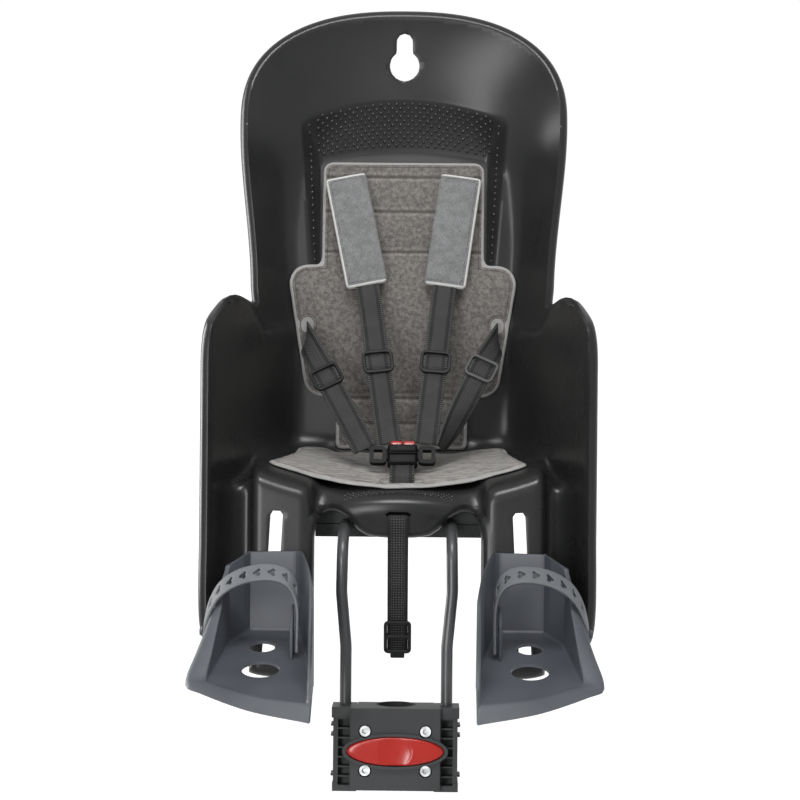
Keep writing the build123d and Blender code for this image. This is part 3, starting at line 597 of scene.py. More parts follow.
# Painted highlight: the domes' colour is a touch lighter than the charcoal, so they show as lit specks.
dome_highlight_plastic = moulded("domes_painted_highlight", (0.020, 0.0207, 0.0203), (0.026, 0.0268, 0.0263), 0.26)
piece(dome_bm, "raised_domes", dome_highlight_plastic, "shell_plastic", "seat", sharp=90)

# Cushion
# One sewn cushion of taupe velour over thin foam, bound with grey tape, in a back part and a seat part.
# Its back part is sewn across in channels; straps come through slots.
CUSHION_GAP = 0.9
CUSHION_FOAM = 4.6
CUSHION_LOW = 272
CUSHION_HIGH = 588
CHANNELS = (304.5, 331, 487, 531, 568.5)
PAD_SLOT = (101, 399)
WIDE_PART = np.array([(-101, 453), (101, 453), (85, 352), (-85, 352)], float)
SEAT_EDGE = [(100, 224), (117, 79), (60, 71), (0, 67), (-60, 71), (-117, 79), (-100, 224)]
SEAT_EDGE = np.array(SEAT_EDGE, float)


def off_cushion_outline(x, z):
    upper = off_slot(x, z - 512.5, 87, 72.5, 10)
    wide = off_polygon(WIDE_PART, x, z) - 20
    waist = off_slot(x, z - 309, 70, 33, 5)
    return smooth_min(smooth_min(upper, wide, 3), waist, 3)


def off_waist_slot(x, z):
    return off_slot(np.abs(x) - PAD_SLOT[0], z - PAD_SLOT[1], 3.4, 14.5, 3.2)


def off_back_cushion(x, z):
    shoulder_slot = off_slot(np.abs(x) - SHOULDER_MOUTH[0], z - SHOULDER_MOUTH[1], 15.5, 3.4, 3.0)
    return np.maximum(off_cushion_outline(x, z), -np.minimum(shoulder_slot, off_waist_slot(x, z)))


def back_hem(x, z):
    """Distance from the taped edges: the outline, and the top half of each waist slot."""
    return np.minimum(-off_cushion_outline(x, z), off_waist_slot(x, z) + np.maximum(404 - z, 0))


def off_seat_cushion(x, y):
    body = off_polygon(SEAT_EDGE, x, y) - 11
    strap_slot = off_slot(x - 3, y - 74.5, 15.5, 4.6, 3)
    return np.maximum(body + 1.1 * np.sin(x * 0.16), -strap_slot)


def back_channels(x, z):
    return np.minimum.reduce([np.abs(z - level) for level in CHANNELS])


def no_channels(x, y):
    return np.full_like(x, 99.0)


def on_back(x, z):
    floors = [244.6, 244.6, back_plane(484) + recess_floor(484), back_plane(600) + recess_floor(600)]
    level = np.interp(z, [CUSHION_LOW, 452, 484, 600], floors)
    return x, np.minimum(shell_depth(x, z), level) - CUSHION_GAP, z


def on_pan(x, y):
    pan = pan_top(y, np.abs(x))
    return x, y, np.clip(shell_level(x, y), pan, pan + 4) + CUSHION_GAP


def sewn_sheets(bm, u, v, rim, hem_off, channels, place, foam, brink):
    """Lay a cut sheet in its place and sew a second one over it, with its cut kept as a UV map."""
    inset = bm.verts.layers.float.new("inset")
    hem = bm.verts.layers.float.new("hem")
    seam = bm.verts.layers.float.new("seam")
    loose = bm.verts.layers.int.new("loose")
    cut = bm.loops.layers.uv.new("cut")
    bm.verts.index_update()
    for face in bm.faces:
        for loop in face.loops:
            loop[cut].uv = (u[loop.vert.index] * MM, v[loop.vert.index] * MM)
    for corner, rim_off, edge_off, line_off in zip(bm.verts, rim, hem_off, channels(u, v)):
        corner[inset] = rim_off
        corner[hem] = edge_off
        corner[seam] = line_off
    place_points(bm, *place(u, v))
    bm.normal_update()
    grown = bmesh.ops.extrude_face_region(bm, geom=bm.faces[:], use_keep_orig=True)
    front = points_of(grown["geom"])
    lift = [corner.normal.copy() for corner in front]
    for corner, out in zip(front, lift):
        open_rim = 1 - brink * (1 - min(max(corner[inset], 0) / 4, 1))
        sewn_line = 0.34 + 0.66 * min(corner[seam] / 3.4, 1)
        corner.co += out * foam * min(open_rim, sewn_line)
    bmesh.ops.recalc_face_normals(bm, faces=bm.faces)
    for corner in front:
        corner[loose] = int(corner[inset] > 3.4 and corner[seam] > 1.5)


def swell(made, cap, pressure):
    """Blow the loose cloth of a sewn piece out for 20 frames, then keep that shape."""
    scene = bpy.context.scene
    count = len(made.data.vertices)
    loose = np.zeros(count, int)
    made.data.attributes["loose"].data.foreach_get("value", loose)
    sewn = made.vertex_groups.new(name="sewn")
    sewn.add([int(i) for i in np.flatnonzero(loose == 0)], 1.0, "REPLACE")
    cloth = made.modifiers.new("swell", "CLOTH")
    cloth.settings.quality = 6
    cloth.settings.use_pressure = True
    cloth.settings.uniform_pressure_force = pressure
    cloth.settings.vertex_group_mass = "sewn"
    cloth.settings.effector_weights.gravity = 0
    rest = np.zeros(count * 3)
    made.data.vertices.foreach_get("co", rest)
    for number in range(1, 21):
        scene.frame_set(number)
    swollen = np.zeros(count * 3)
    made.evaluated_get(bpy.context.evaluated_depsgraph_get()).data.vertices.foreach_get("co", swollen)
    move = (swollen - rest).reshape(-1, 3)
    length = np.maximum(np.linalg.norm(move, axis=1, keepdims=True), 1e-9)
    move *= cap * np.tanh(length / cap) / length
    made.modifiers.remove(cloth)
    made.vertex_groups.remove(sewn)
    made.data.vertices.foreach_set("co", rest + move.ravel())
    scene.frame_set(1)


def velour(name, dark, light, drawn):
    """Crushed taupe pile with paler bound edges, a stitch line beside them and creased channels, with painted
    shade in each crease and a painted highlight on the swell beside it.
    """
    material, shader, place = start_finish(name)
    hem = place.attribute("hem")
    seam = place.attribute("seam")
    combed = place.stretched(drawn, 1.0)
    crushed = combed.noise(230.0, 5.0).ramp(0.36, 0.66)
    pile = combed.noise(640.0, 2.0)
    fleck = combed.noise(420.0, 1.0).ramp(0.6, 0.72)
    tape = 1 - hem.ramp(2.9, 3.4)
    stitch = hem.line(6.4, 0.25, 0.8)
    # Painted shade: the cloth is darkened along each channel seam, where the crease falls into shade.
    crease_shade = 1 - seam.ramp(0.4, 2.0)
    # Painted highlight: a lighter band on the swell of cloth beside each channel crease.
    ridge_highlight = seam.ramp(1.8, 3.0) * (1 - seam.ramp(3.4, 6.0))
    shade = 0.42 * crushed + 0.36 * pile.ramp(0.25, 0.75) + 0.22 * fleck + 0.3 * ridge_highlight
    # The dark colour goes into the stitch line, a real dark thread, and into the channel creases as painted
    # shade.
    stitch_and_crease_shade = (0.6 * stitch + 0.75 * crease_shade).tint(shade.tint(dark, light), (0.042, 0.038, 0.035))
    ribbed = pile.tint((0.30, 0.295, 0.287), (0.46, 0.453, 0.443))
    height = 0.6 * pile + 0.4 * crushed - 0.8 * stitch
    feed(
        shader,
        Base_Color=tape.tint(stitch_and_crease_shade, ribbed),
        Roughness=0.96 - 0.12 * tape,
        Normal=height.bump(0.7, 0.0008),
        Sheen_Weight=0.2,
        Sheen_Roughness=0.5,
    )
    return material


def sewn_pad(name, columns, rows, off, place, finish, slot, node,
             foam=CUSHION_FOAM, channels=no_channels, hem=None, brink=0.55, cap=0.006, pressure=4.0):
    """A sewn, swollen pad, cut from a grid and laid in its place."""
    bm, u, v = trimmed(columns, rows, off)
    rim = -off(u, v)
    sewn_sheets(bm, u, v, rim, hem(u, v) if hem else rim, channels, place, foam, brink)
    made = piece(bm, name, finish, slot, "seat", node, sharp=180)
    swell(made, cap, pressure)
    smooth = made.modifiers.new("rounded", "SUBSURF")
    smooth.levels = 1
    smooth.render_levels = 1


taupe = velour("taupe_velour", (0.076, 0.070, 0.064), (0.275, 0.254, 0.236), 1.0)
# The seat part gets a much lighter copy of the back's velour, its grain drawn out across: the lighter colour
# is painted light on the upward-facing seat.
lit_seat_velour = velour("painted_light_velour", (0.125, 0.116, 0.107), (0.56, 0.53, 0.495), 0.3)
row_ends = (CUSHION_LOW, *CHANNELS, CUSHION_HIGH)
back_rows = []
for low, high in zip(row_ends, row_ends[1:]):
    back_rows.append(np.linspace(low, high, max(round((high - low) / 4), 3), endpoint=False))
back_rows = np.concatenate([*back_rows, [CUSHION_HIGH]])
sewn_pad(
    "back_cushion", np.linspace(-126, 126, 57), back_rows, off_back_cushion, on_back,
    taupe, "pad_cloth", "seat_pad", channels=back_channels, hem=back_hem,
)
sewn_pad(
    "seat_cushion", np.linspace(-134, 134, 61), np.linspace(50, 240, 45), off_seat_cushion, on_pan,
    lit_seat_velour, "pad_cloth", "seat_pad",
)

# Shoulder sleeves
# Two padded sleeves of brushed grey cloth wrapped round the shoulder webbing.
# Their ends and outer edges are bound with white tape beside a dotted stitch line.
SLEEVE_HALF = 22.0
SLEEVE_LOW = -55.0
SLEEVE_HIGH = 70.0
SLEEVE_FOAM = 7.0
ACROSS = Vector((1, 0, 0))
shoulder_tops = {"left": Vector((-59.8, 251.2, 556)), "right": Vector((59.8, 251.2, 556))}
shoulder_bends = {"left": Vector((-37, 224.2, 448)), "right": Vector((44.5, 224.2, 448))}


def strap_axes(start, end):
    """Directions across, along and out of a flat strap that runs down from start to end."""
    along = (start - end).normalized()
    across = (ACROSS - along * along.x).normalized()
    return across, along, across.cross(along)


def brushed_cloth():
    """Brushed grey cloth with fibres along the strap, white binding and a dotted stitch line."""
    material, shader, place = start_finish("brushed_cloth")
    cut = place.cut_map()
    hem = place.attribute("hem")
    fibre = cut.stretched(1.0, 0.22).noise(1500.0, 3.0)
    patch = place.noise(120.0, 3.0).ramp(0.3, 0.7)
    tape = 1 - hem.ramp(2.4, 2.9)
    stitch = hem.line(5.2, 0.3, 0.8) * cut.noise(700.0, 0.0).ramp(0.42, 0.58)
    shade = 0.62 * fibre.ramp(0.3, 0.7) + 0.38 * patch
    cloth = shade.tint((0.115, 0.117, 0.119), (0.262, 0.265, 0.268))
    white = fibre.tint((0.56, 0.56, 0.545), (0.80, 0.80, 0.78))
    feed(
        shader,
        Base_Color=tape.tint((0.75 * stitch).tint(cloth, (0.05, 0.05, 0.05)), white),
        Roughness=0.95 - 0.1 * tape,
        Normal=(fibre - 0.8 * stitch).bump(0.5, 0.0006),
        Sheen_Weight=0.2,
    )
    return material


def off_sleeve(u, v):
    middle = (SLEEVE_HIGH + SLEEVE_LOW) / 2
    return off_slot(u, v - middle, SLEEVE_HALF, (SLEEVE_HIGH - SLEEVE_LOW) / 2, 3)


brushed = brushed_cloth()
for side, hand in SIDES:
    top, bend = shoulder_tops[side], shoulder_bends[side]
    across, along, out = strap_axes(top, bend)
    middle = (top + bend) / 2

    def on_strap(u, v):
        bow = -4.2 - 0.8 * (u / SLEEVE_HALF) ** 2
        return tuple(middle[k] + across[k] * u + along[k] * v + out[k] * bow for k in range(3))

    def sleeve_hem(u, v):
        return np.minimum(SLEEVE_HALF - hand * u, np.minimum(v - SLEEVE_LOW, SLEEVE_HIGH - v))

    sewn_pad(
        f"shoulder_sleeve_{side}",
        np.linspace(-22.4, 22.4, 15), np.linspace(SLEEVE_LOW - 1, SLEEVE_HIGH + 1, 34), off_sleeve, on_strap,
        brushed, "sleeve_cloth", f"shoulder_pad_{side}",
        foam=SLEEVE_FOAM, hem=sleeve_hem, brink=0.12, cap=0.004, pressure=40.0,
    )

# Webbing
# Dark polypropylene webbing, 25 mm wide, woven in a herringbone with a beaded edge.
# Shoulder and waist straps run from slots in the back to the buckle, a short one comes up from the pan.
WEB_WIDTH = 25.0
WEB_THICK = 1.6
THREAD = 0.0026
SLIDE_HUMP = ((16, 0), (9, 0.3), (4.5, 2.6), (-4.5, 2.6), (-9, 0.3), (-16, 0))
SLIDE_SHARE = (448 - 367) / (448 - 293)


def woven(name, zigzag):
    """Woven webbing: herringbone or plain ribs, with light beads along both edges."""
    material, shader, place = start_finish(name)
    cut = place.cut_map()
    across = cut.part("X")
    along = cut.part("Y")
    off_middle = across.math("ABSOLUTE", across)
    thread = 1 - off_middle.ramp(0.0062, 0.0068)
    rib = ((along + zigzag * off_middle) / THREAD).wave() * (0.35 + 0.65 * thread)
    if not zigzag:
        rib = rib * (across / THREAD).wave().ramp(0.1, 0.6)
    beads = off_middle.ramp(0.0098, 0.0104) * (along / THREAD).wave().ramp(0.3, 0.7)
    wear = place.noise(60.0, 3.0).ramp(0.3, 0.75)
    tone = 0.62 * rib.ramp(0.3, 0.85) + 0.1 * wear + 0.85 * beads
    feed(
        shader,
        Base_Color=tone.tint((0.003, 0.0035, 0.0032), (0.105, 0.110, 0.105)),
        Roughness=0.8 - 0.1 * rib,
        Normal=(rib + 0.8 * beads).bump(0.6, 0.0006),
        Specular_IOR_Level=0.25,
    )
    return material


def run_lengths(line):
    """Length of a line from its start to each of its points."""
    return np.concatenate([[0], np.cumsum([np.linalg.norm(b - a) for a, b in zip(line, line[1:])])])


def webbing(name, stations, width, finish, node):
    """A woven strap through stations, each a middle and the direction of its width."""
    middles = bent_line([s[0] for s in stations], 7)
    sides = bent_line([s[1] for s in stations], 7)
    runs = run_lengths(middles)
    bm = bmesh.new()
    bmesh.ops.create_grid(bm, x_segments=6, y_segments=len(middles) - 1, size=1.0)
    cut = bm.loops.layers.uv.new("cut")
    for face in bm.faces:
        for loop in face.loops:
            step = grid_step(loop.vert.co.y, len(middles))
            loop[cut].uv = (loop.vert.co.x * width / 2000, runs[step] / 1000)
    for corner in bm.verts:
        step = grid_step(corner.co.y, len(middles))
        side = sides[step] / np.linalg.norm(sides[step])
        corner.co = middles[step] + side * width / 2 * corner.co.x
    made = piece(bm, name, finish, "webbing", "seat", node, sharp=180)
    thicken(made, WEB_THICK, 0.0)


def over_slide(spot, along, out, across):
    """Stations of a strap that humps over the middle bar of a slide."""
    return [(spot + along * step + out * lift, across) for step, lift in SLIDE_HUMP]


herringbone = woven("herringbone_webbing", 1.3)
shoulder_ends = {"left": Vector((-12, 118, 293)), "right": Vector((27, 118, 293))}
slide_spots = {}
for side, hand in SIDES:
    top, bend, end = shoulder_tops[side], shoulder_bends[side], shoulder_ends[side]
    upper_across = strap_axes(top, bend)[0]
    across, along, out = strap_axes(bend, end)
    slide = f"shoulder_slide_{side}"
    spot = bend.lerp(end, SLIDE_SHARE)
    slide_spots[slide] = (spot, across, along, out)
    stations = [
        (Vector((hand * 61, 282, 563.5)), ACROSS),
        (Vector((hand * 61, 262, 563.5)), ACROSS),
        (Vector((hand * 60.6, 254.5, 561)), ACROSS),
        (top, upper_across),
        (bend, (upper_across + across) / 2),
        *over_slide(spot, along, out, across),
        (end, across),
        (end - along * 9, across),
    ]
    strap = f"shoulder_strap_{side}"
    webbing(f"shoulder_webbing_{side}", stations, WEB_WIDTH, herringbone, strap)

waist_runs = {
    "left": (Vector((-85, 186, 366)), Vector((-35, 114, 279))),
    "right": (Vector((91, 186, 377)), Vector((41, 114, 281))),
}
for side, hand in SIDES:
    start, end = waist_runs[side]
    along = (start - end).normalized()
    across = along.cross(Vector((0, -1, 0.25))).normalized() * -hand
    across = across if across.z > 0 else -across
    out = across.cross(along)
    out = out if out.y < 0 else -out
    slide = f"waist_slide_{side}"
    spot = start.lerp(end, 0.17)
    slide_spots[slide] = (spot, across, along, out)
    turned = across if hand < 0 else (across * 0.35 + Vector((0, -0.9, 0.25)))
    stations = [
        (Vector((hand * 101, 256, 399)), Vector((0, 0, 1))),
        (Vector((hand * 101, 238, 399)), Vector((0, 0, 1))),
        (Vector((hand * 100.5, 222, 395)), Vector((-hand * 0.25, -0.2, 1))),
        (Vector((hand * 97, 204, 386)), Vector((-hand * 0.7, -0.1, 0.9))),
        *over_slide(spot, along, out, across),
        (start.lerp(end, 0.7), (across + turned) / 2),
        (end, turned),
    ]
    strap = f"waist_strap_{side}"
    webbing(f"waist_webbing_{side}", stations, WEB_WIDTH, herringbone, strap)

crotch_run = [(3, 73.5, 234), (3, 73.5, 250), (3, 78, 258.5), (3, 101.5, 264.5)]
stations = [(Vector(spot), ACROSS) for spot in crotch_run]
webbing("crotch_webbing", stations, WEB_WIDTH - 1, herringbone, "crotch_strap")

# Slides
# Moulded three-bar slides on the harness webbing: a rounded frame over the strap and a bar under it.
# The webbing humps over the bar, which sets the length of the strap.
black_plastic = moulded("black_acetal", (0.011, 0.0115, 0.012), (0.018, 0.0185, 0.019), 0.44, gloss=0.13)
lighter_black = moulded("lighter_acetal", (0.05, 0.052, 0.052), (0.075, 0.077, 0.077), 0.46)


def rounded_frame(bm, place, width, tall, corner, rail, low, high):
    """A rounded frame, flat in its place's X and Y, from low to high above it."""
    made = bmesh.ops.create_grid(bm, x_segments=1, y_segments=1, size=0.5)
    bmesh.ops.scale(bm, vec=(width, tall, 1), verts=made["verts"])
    rounded = bmesh.ops.bevel(
        bm, geom=made["verts"], affect="VERTICES", offset=corner, segments=5, profile=0.5, material=-1
    )
    face = rounded["verts"][0].link_faces[0]
    inset = bmesh.ops.inset_region(bm, faces=[face], thickness=rail, use_boundary=True, use_even_offset=True)
    ring = inset["faces"]
    bmesh.ops.delete(bm, geom=[face], context="FACES")
    top = points_of(bmesh.ops.extrude_face_region(bm, geom=ring, use_keep_orig=True)["geom"])
    bottom = list({vert for face in ring for vert in face.verts})
    bmesh.ops.translate(bm, vec=(0, 0, high), verts=top)
    bmesh.ops.translate(bm, vec=(0, 0, low), verts=bottom)
    bmesh.ops.recalc_face_normals(bm, faces=bm.faces)
    bmesh.ops.transform(bm, matrix=place, verts=top + bottom)


def rounded_block(bm, place, low, high, radius, segments=3):
    """A block with rounded edges between two corners of its place."""
    low, high = Vector(low), Vector(high)
    made = bmesh.ops.create_cube(bm, size=1.0)["verts"]
    bmesh.ops.scale(bm, vec=high - low, verts=made)
    bmesh.ops.translate(bm, vec=(low + high) / 2, verts=made)
    bmesh.ops.transform(bm, matrix=place, verts=made)
    edges = list({edge for vert in made for edge in vert.link_edges})
    bmesh.ops.bevel(
        bm, geom=edges, affect="EDGES", offset=radius, segments=segments, profile=0.5, material=-1
    )


def strap_place(spot, across, along):
    turn = Matrix((across, along, across.cross(along))).transposed().to_4x4()
    return Matrix.Translation(spot) @ turn


for node, (spot, across, along, out) in slide_spots.items():
    facing = 1 if across.cross(along).dot(out) > 0 else -1
    place = strap_place(spot, across * facing, along)
    slide_bm = bmesh.new()
    rounded_frame(slide_bm, place, 32, 28, 6.5, 3.4, 0.9, 4.4)
    rounded_block(slide_bm, place, (-15, -2.6, -1.9), (15, 2.6, 1.1), 1.2)
    # The right waist slide gets a lighter copy of the black plastic.
    finish = lighter_black if node == "waist_slide_right" else black_plastic
    name = node.replace("slide", "strap_slide")
    slide = piece(slide_bm, name, finish, "buckle_plastic", "seat", node)
    edge_rounding(slide, 1.0)

# Harness buckle
# A black acetal housing with a stippled crown and a curved lip, two tongues, and two red press keys.
# The tongues snap in from the sides; each key frees its own tongue.
BUCKLE_PLACE = Matrix.Translation((3, 106, 273)) @ Matrix.Rotation(math.radians(62), 4, "X")
STIPPLE = 0.62
jet_black = moulded("jet_acetal", (0.0045, 0.0048, 0.005), (0.008, 0.0083, 0.0086), 0.5, gloss=0.07)
buckle_bm = bmesh.new()
rounded_block(buckle_bm, BUCKLE_PLACE, (-15, -12, -7), (15, 11, 6), 3.0, 4)
piece(buckle_bm, "buckle_body", jet_black, "buckle_plastic", "seat", "buckle_housing")
cover_bm = bmesh.new()
rounded_block(cover_bm, BUCKLE_PLACE, (-13.4, -11, 5.6), (13.4, -1.5, 8), 1.1)
rounded_block(cover_bm, BUCKLE_PLACE, (-14.2, -0.6, 5.4), (14.2, 1.2, 8.0), 0.8)
rounded_block(cover_bm, BUCKLE_PLACE, (-13.6, 2.0, 5.2), (13.6, 9.8, 7.4), 1.1)
for row in range(3):
    for step in range(-5, 6):
        spot = BUCKLE_PLACE @ Matrix.Translation((step * 2.3 + 0.6 * (row % 2), 3.6 + row * 2.2, 7.3))
        bmesh.ops.create_uvsphere(cover_bm, u_segments=6, v_segments=4, radius=STIPPLE, matrix=spot)
piece(cover_bm, "buckle_front", jet_black, "buckle_plastic", "seat", "buckle_cover")

red_gloss, red_shader, red_place = start_finish("red_gloss")
red_cloud = red_place.noise(40.0, 3.0)
feed(
    red_shader,
    Base_Color=red_cloud.tint((0.40, 0.016, 0.011), (0.50, 0.024, 0.016)),
    Roughness=0.2 + 0.1 * red_cloud,
    Coat_Weight=0.2,
    Coat_Roughness=0.12,
    Specular_IOR_Level=0.15,
)
for side, hand in SIDES:
    key_bm = bmesh.new()
    low_x, high_x = sorted((hand * 0.6, hand * 12))
    rounded_block(key_bm, BUCKLE_PLACE, (low_x, 8.2, -3.6), (high_x, 15.5, 3.0), 1.0)
    for rib in (-2.2, -0.4, 1.4):
        rib_low = (low_x + 1.2, 15.0, rib - 0.4)
        rib_high = (high_x - 1.2, 15.9, rib + 0.4)
        rounded_block(key_bm, BUCKLE_PLACE, rib_low, rib_high, 0.25, 2)
    key = f"buckle_button_{side}"
    piece(key_bm, f"press_key_{side}", red_gloss, "red_plastic", key, key)
    tongue_bm = bmesh.new()
    low_x, high_x = sorted((hand * 1.2, hand * 17))
    rounded_block(tongue_bm, BUCKLE_PLACE, (low_x, -5, -2.6), (high_x, 5.5, 2), 0.8)
    place = BUCKLE_PLACE @ Matrix.Translation((hand * 24.5, 0, 0))
    rounded_frame(tongue_bm, place, 17, 19, 4.0, 4.2, -3.2, 3.4)
    name, node = f"snap_tongue_{side}", f"buckle_tongue_{side}"
    edge_rounding(piece(tongue_bm, name, jet_black, "buckle_plastic", "seat", node), 0.9)

# Foot wells
# Two injection-moulded foot wells in slate grey, each with two holes in its floor and a flared skirt.
# A neck and a T-head behind the leg plate let each well slide up and down its slot.
# Each station round the wall gives x and y of its inside, outside and foot, its top and its flare.
slate = moulded("slate_moulding", (0.068, 0.0745, 0.087), (0.094, 0.102, 0.117), 0.46, gloss=0.2)
STRAP_Y = -50
FIN_X = 96.5
WELL_FLOOR = 3.0
WELL_HOLES = ((125, -30, 12.5), (123, -80, 17.5))
WELL_STATIONS = [
    (97, 8.2, 94, 11.4, 94, 11.4, 184, 0),
    (138, 8.2, 139.5, 11.4, 140, 11.4, 183, 0),
    (141, 6.8, 143, 9.8, 144, 10, 182.6, 0.5),
    (155.6, -18.2, 158.8, -17.4, 160.5, -17, 173, 1),
    (157.6, -24, 160.8, -23.6, 163.5, -23.3, 167.5, 1),
    (161.9, -55, 165.1, -54.6, 174, -54, 133.8, 1),
    (166.4, -85, 169.6, -84.8, 184.2, -84, 100.4, 1),
    (168.8, -100, 172, -100.8, 188.6, -100, 83.5, 1),
    (168.4, -106.4, 171, -108.8, 187.4, -110.5, 75.4, 0.8),
    (163, -110.6, 164.6, -113.2, 178.5, -120.8, 73.6, 0.3),
    (125, -134.6, 126, -137.4, 130, -147.6, 66.2, 0),
    (82, -147, 80.5, -150, 80.5, -161.4, 62.5, 0),
    (77.4, -147.6, 74.4, -150.8, 73.4, -162.4, 62.0, 0),
    (76.7, -143, 73.5, -145.6, 72.9, -151, 74, 0),
    (76.7, -137, 73.5, -138.6, 73, -141, 86, 0),
    (77, -116, 73.7, -116, 73.2, -116.4, 139, 0),
    (77.1, -106, 73.8, -106, 73.3, -106, 149.5, 0),
    (77.2, -94, 74, -94, 73.4, -94, 156, 0),
    (81.8, -50.4, 78.7, -50, 78.2, -50, 169.5, 0),
    (90.5, -6, 87.3, -6, 87, -6, 182.3, 0),
    (93.2, 4.4, 90.2, 5.4, 89.8, 5.4, 183.8, 0),
]


def well_floor(y):
    return 108 + (y - 7) * 0.299


def well_section(station):
    """Places round the wall of a foot well: up inside, over its top and down its flared outside."""
    inner, outer, foot = (np.array(station[k:k + 2]) for k in (0, 2, 4))
    top, flare = station[6:8]
    inward = (inner - outer) / np.linalg.norm(inner - outer)
    level = well_floor(inner[1])
    tall = max(top - level, 0.3)
    drop = max(3.4, -2.7 - 0.0387 * foot[0] - 0.1044 * foot[1])
    low = well_floor(foot[1]) - drop
    seam = inner + inward * 2.6
    section = [(*seam, well_floor(seam[1])), (*(inner + inward * 0.7), level + min(0.7, tall * 0.3))]
    section += [(*inner, level + min(2.6, tall * 0.5)), (*inner, top - min(0.9, tall * 0.3))]
    section += [(*(inner * 0.75 + outer * 0.25), top - 0.15), (*(inner * 0.45 + outer * 0.55), top)]
    for t in np.linspace(0.1, 1, 9):
        turn = t * math.pi / 2
        across = flare * math.sin(turn) ** 0.55 + (1 - flare) * t
        down = flare * (1 - math.cos(turn) ** 0.55) + (1 - flare) * t
        section.append((*(outer + (foot - outer) * across), top + (low - top) * down))
    section += [(*(foot + inward * 2.4), low + 0.2), (*(inner + inward * 0.6), level - 3.1)]
    return np.array(section + section[:1])


def turned_place(spot, degrees):
    return Matrix.Translation(spot) @ Matrix.Rotation(math.radians(degrees), 4, "Y")


def off_well_floor(u, v):
    holes = np.minimum.reduce([np.hypot(u - x, v - y) - r for x, y, r in WELL_HOLES])
    return np.maximum(off_polygon(inner_edge, u, v) - 1.0, -holes)


around = [well_section(np.array(s)) for s in bent_line(WELL_STATIONS + WELL_STATIONS[:1], 7)]
inner_edge = np.array([s[:2] for s in bent_line(WELL_STATIONS, 3)])
for side, hand in SIDES:
    well_bm = bmesh.new()
    bmesh.ops.create_grid(well_bm, x_segments=len(around) - 1, y_segments=len(around[0]) - 1, size=1.0)
    for corner in well_bm.verts:
        section = around[grid_step(corner.co.x, len(around))]
        x, y, z = section[grid_step(corner.co.y, len(section))]
        corner.co = (hand * x, y, z)
    bmesh.ops.remove_doubles(well_bm, verts=well_bm.verts, dist=0.01)
    bmesh.ops.recalc_face_normals(well_bm, faces=well_bm.faces)
    floor_bm, u, v = trimmed(np.linspace(74, 174, 51), np.linspace(-153, 12, 83), off_well_floor)
    place_points(floor_bm, hand * u, v, well_floor(v))
    bmesh.ops.recalc_face_normals(floor_bm, faces=floor_bm.faces)
    if sum(face.normal.z for face in floor_bm.faces) < 0:
        bmesh.ops.reverse_faces(floor_bm, faces=floor_bm.faces)
    bmesh.ops.solidify(floor_bm, geom=floor_bm.faces[:], thickness=WELL_FLOOR)
    merge(well_bm, floor_bm)
    fin_x = hand * FIN_X
    upright = Matrix.Translation((fin_x, STRAP_Y, 0))
    rounded_block(well_bm, upright, (-1.7, -8, 88), (1.7, 8, 121), 1.4)
    for vert in well_bm.verts:
        if abs(vert.co.x - fin_x) < 2.5 and vert.co.z > 118 and abs(vert.co.y - STRAP_Y) < 9:
            vert.co.z += max(vert.co.y + 56, 0) * 1.3
    peg = turned_place((hand * 171, STRAP_Y, 113), 90)
    head = turned_place((hand * 180.6, STRAP_Y, 113), hand * 90)
    for place, wide, narrow, depth in ((peg, 3.4, 3.4, 18), (head, 5.2, 3.6, 2.8)):
        bmesh.ops.create_cone(
            well_bm, cap_ends=True, segments=24, radius1=wide, radius2=narrow, depth=depth, matrix=place
        )
    key = turned_place((hand * 119.55, 0, 150), -3 * hand)
    rounded_block(well_bm, key, (-5.6, 8.4, -13), (5.6, 17, 13), 0.8)
    rounded_block(well_bm, key, (-10, 16.35, -17), (10, 20.35, 17), 1.2)
    footrest = f"footrest_{side}"
    piece(well_bm, f"foot_well_{side}", slate, "foot_plastic", footrest, footrest, sharp=50)

# Foot straps
# Soft grey rubber straps, pushed over a peg outside and held by a fin inside each foot well.
# A row of three-lobed holes sets their length.
STRAP_HALF = 7.5
STRAP_THICK = 2.4
STRAP_SLOPE = 0.9
HOLE_FIRST = 42
HOLE_PITCH = 13.5
LOBE_OUT = 2.1
LOBE_RADIUS = 1.9
STRAP_POINTS = [(91.6, 98), (91.2, 122), (91.4, 139), (94, 152), (100.5, 162), (111.5, 167), (127, 167.6)]
STRAP_POINTS += [(146, 163), (163, 152), (173, 135), (177.6, 116), (178.4, 104)]
rubber = moulded("grey_rubber", (0.135, 0.143, 0.154), (0.185, 0.195, 0.209), 0.6, 900.0)
strap_line = bent_line(STRAP_POINTS, 10)
strap_runs = run_lengths(strap_line)
strap_length = strap_runs[-1]


def off_foot_strap(u, v):
    body = off_slot(u, v - strap_length / 2, STRAP_HALF, strap_length / 2, 5)
    holes = []
    for step in range(9):
        middle = HOLE_FIRST + step * HOLE_PITCH
        for turn in (90, 210, 330):
            lobe_u = u - LOBE_OUT * math.cos(math.radians(turn))
            lobe_v = v - middle - LOBE_OUT * math.sin(math.radians(turn))
            holes.append(np.hypot(lobe_u, lobe_v) - LOBE_RADIUS)
    return np.maximum(body, -np.minimum.reduce(holes))


for side, hand in SIDES:
    strap_rows = np.linspace(-0.5, strap_length + 0.5, 200)
    band_bm, u, v = trimmed(np.linspace(-7.7, 7.7, 19), strap_rows, off_foot_strap)
    band_x = np.interp(v, strap_runs, [p[0] for p in strap_line])
    band_z = np.interp(v, strap_runs, [p[1] for p in strap_line])
    place_points(band_bm, hand * band_x, STRAP_Y + u, band_z + STRAP_SLOPE * u)
    bmesh.ops.recalc_face_normals(band_bm, faces=band_bm.faces)
    name, node = f"rubber_strap_{side}", f"foot_strap_{side}"
    band = piece(band_bm, name, rubber, "strap_rubber", f"footrest_{side}", node, sharp=60)
    thicken(band, STRAP_THICK, 0.0)

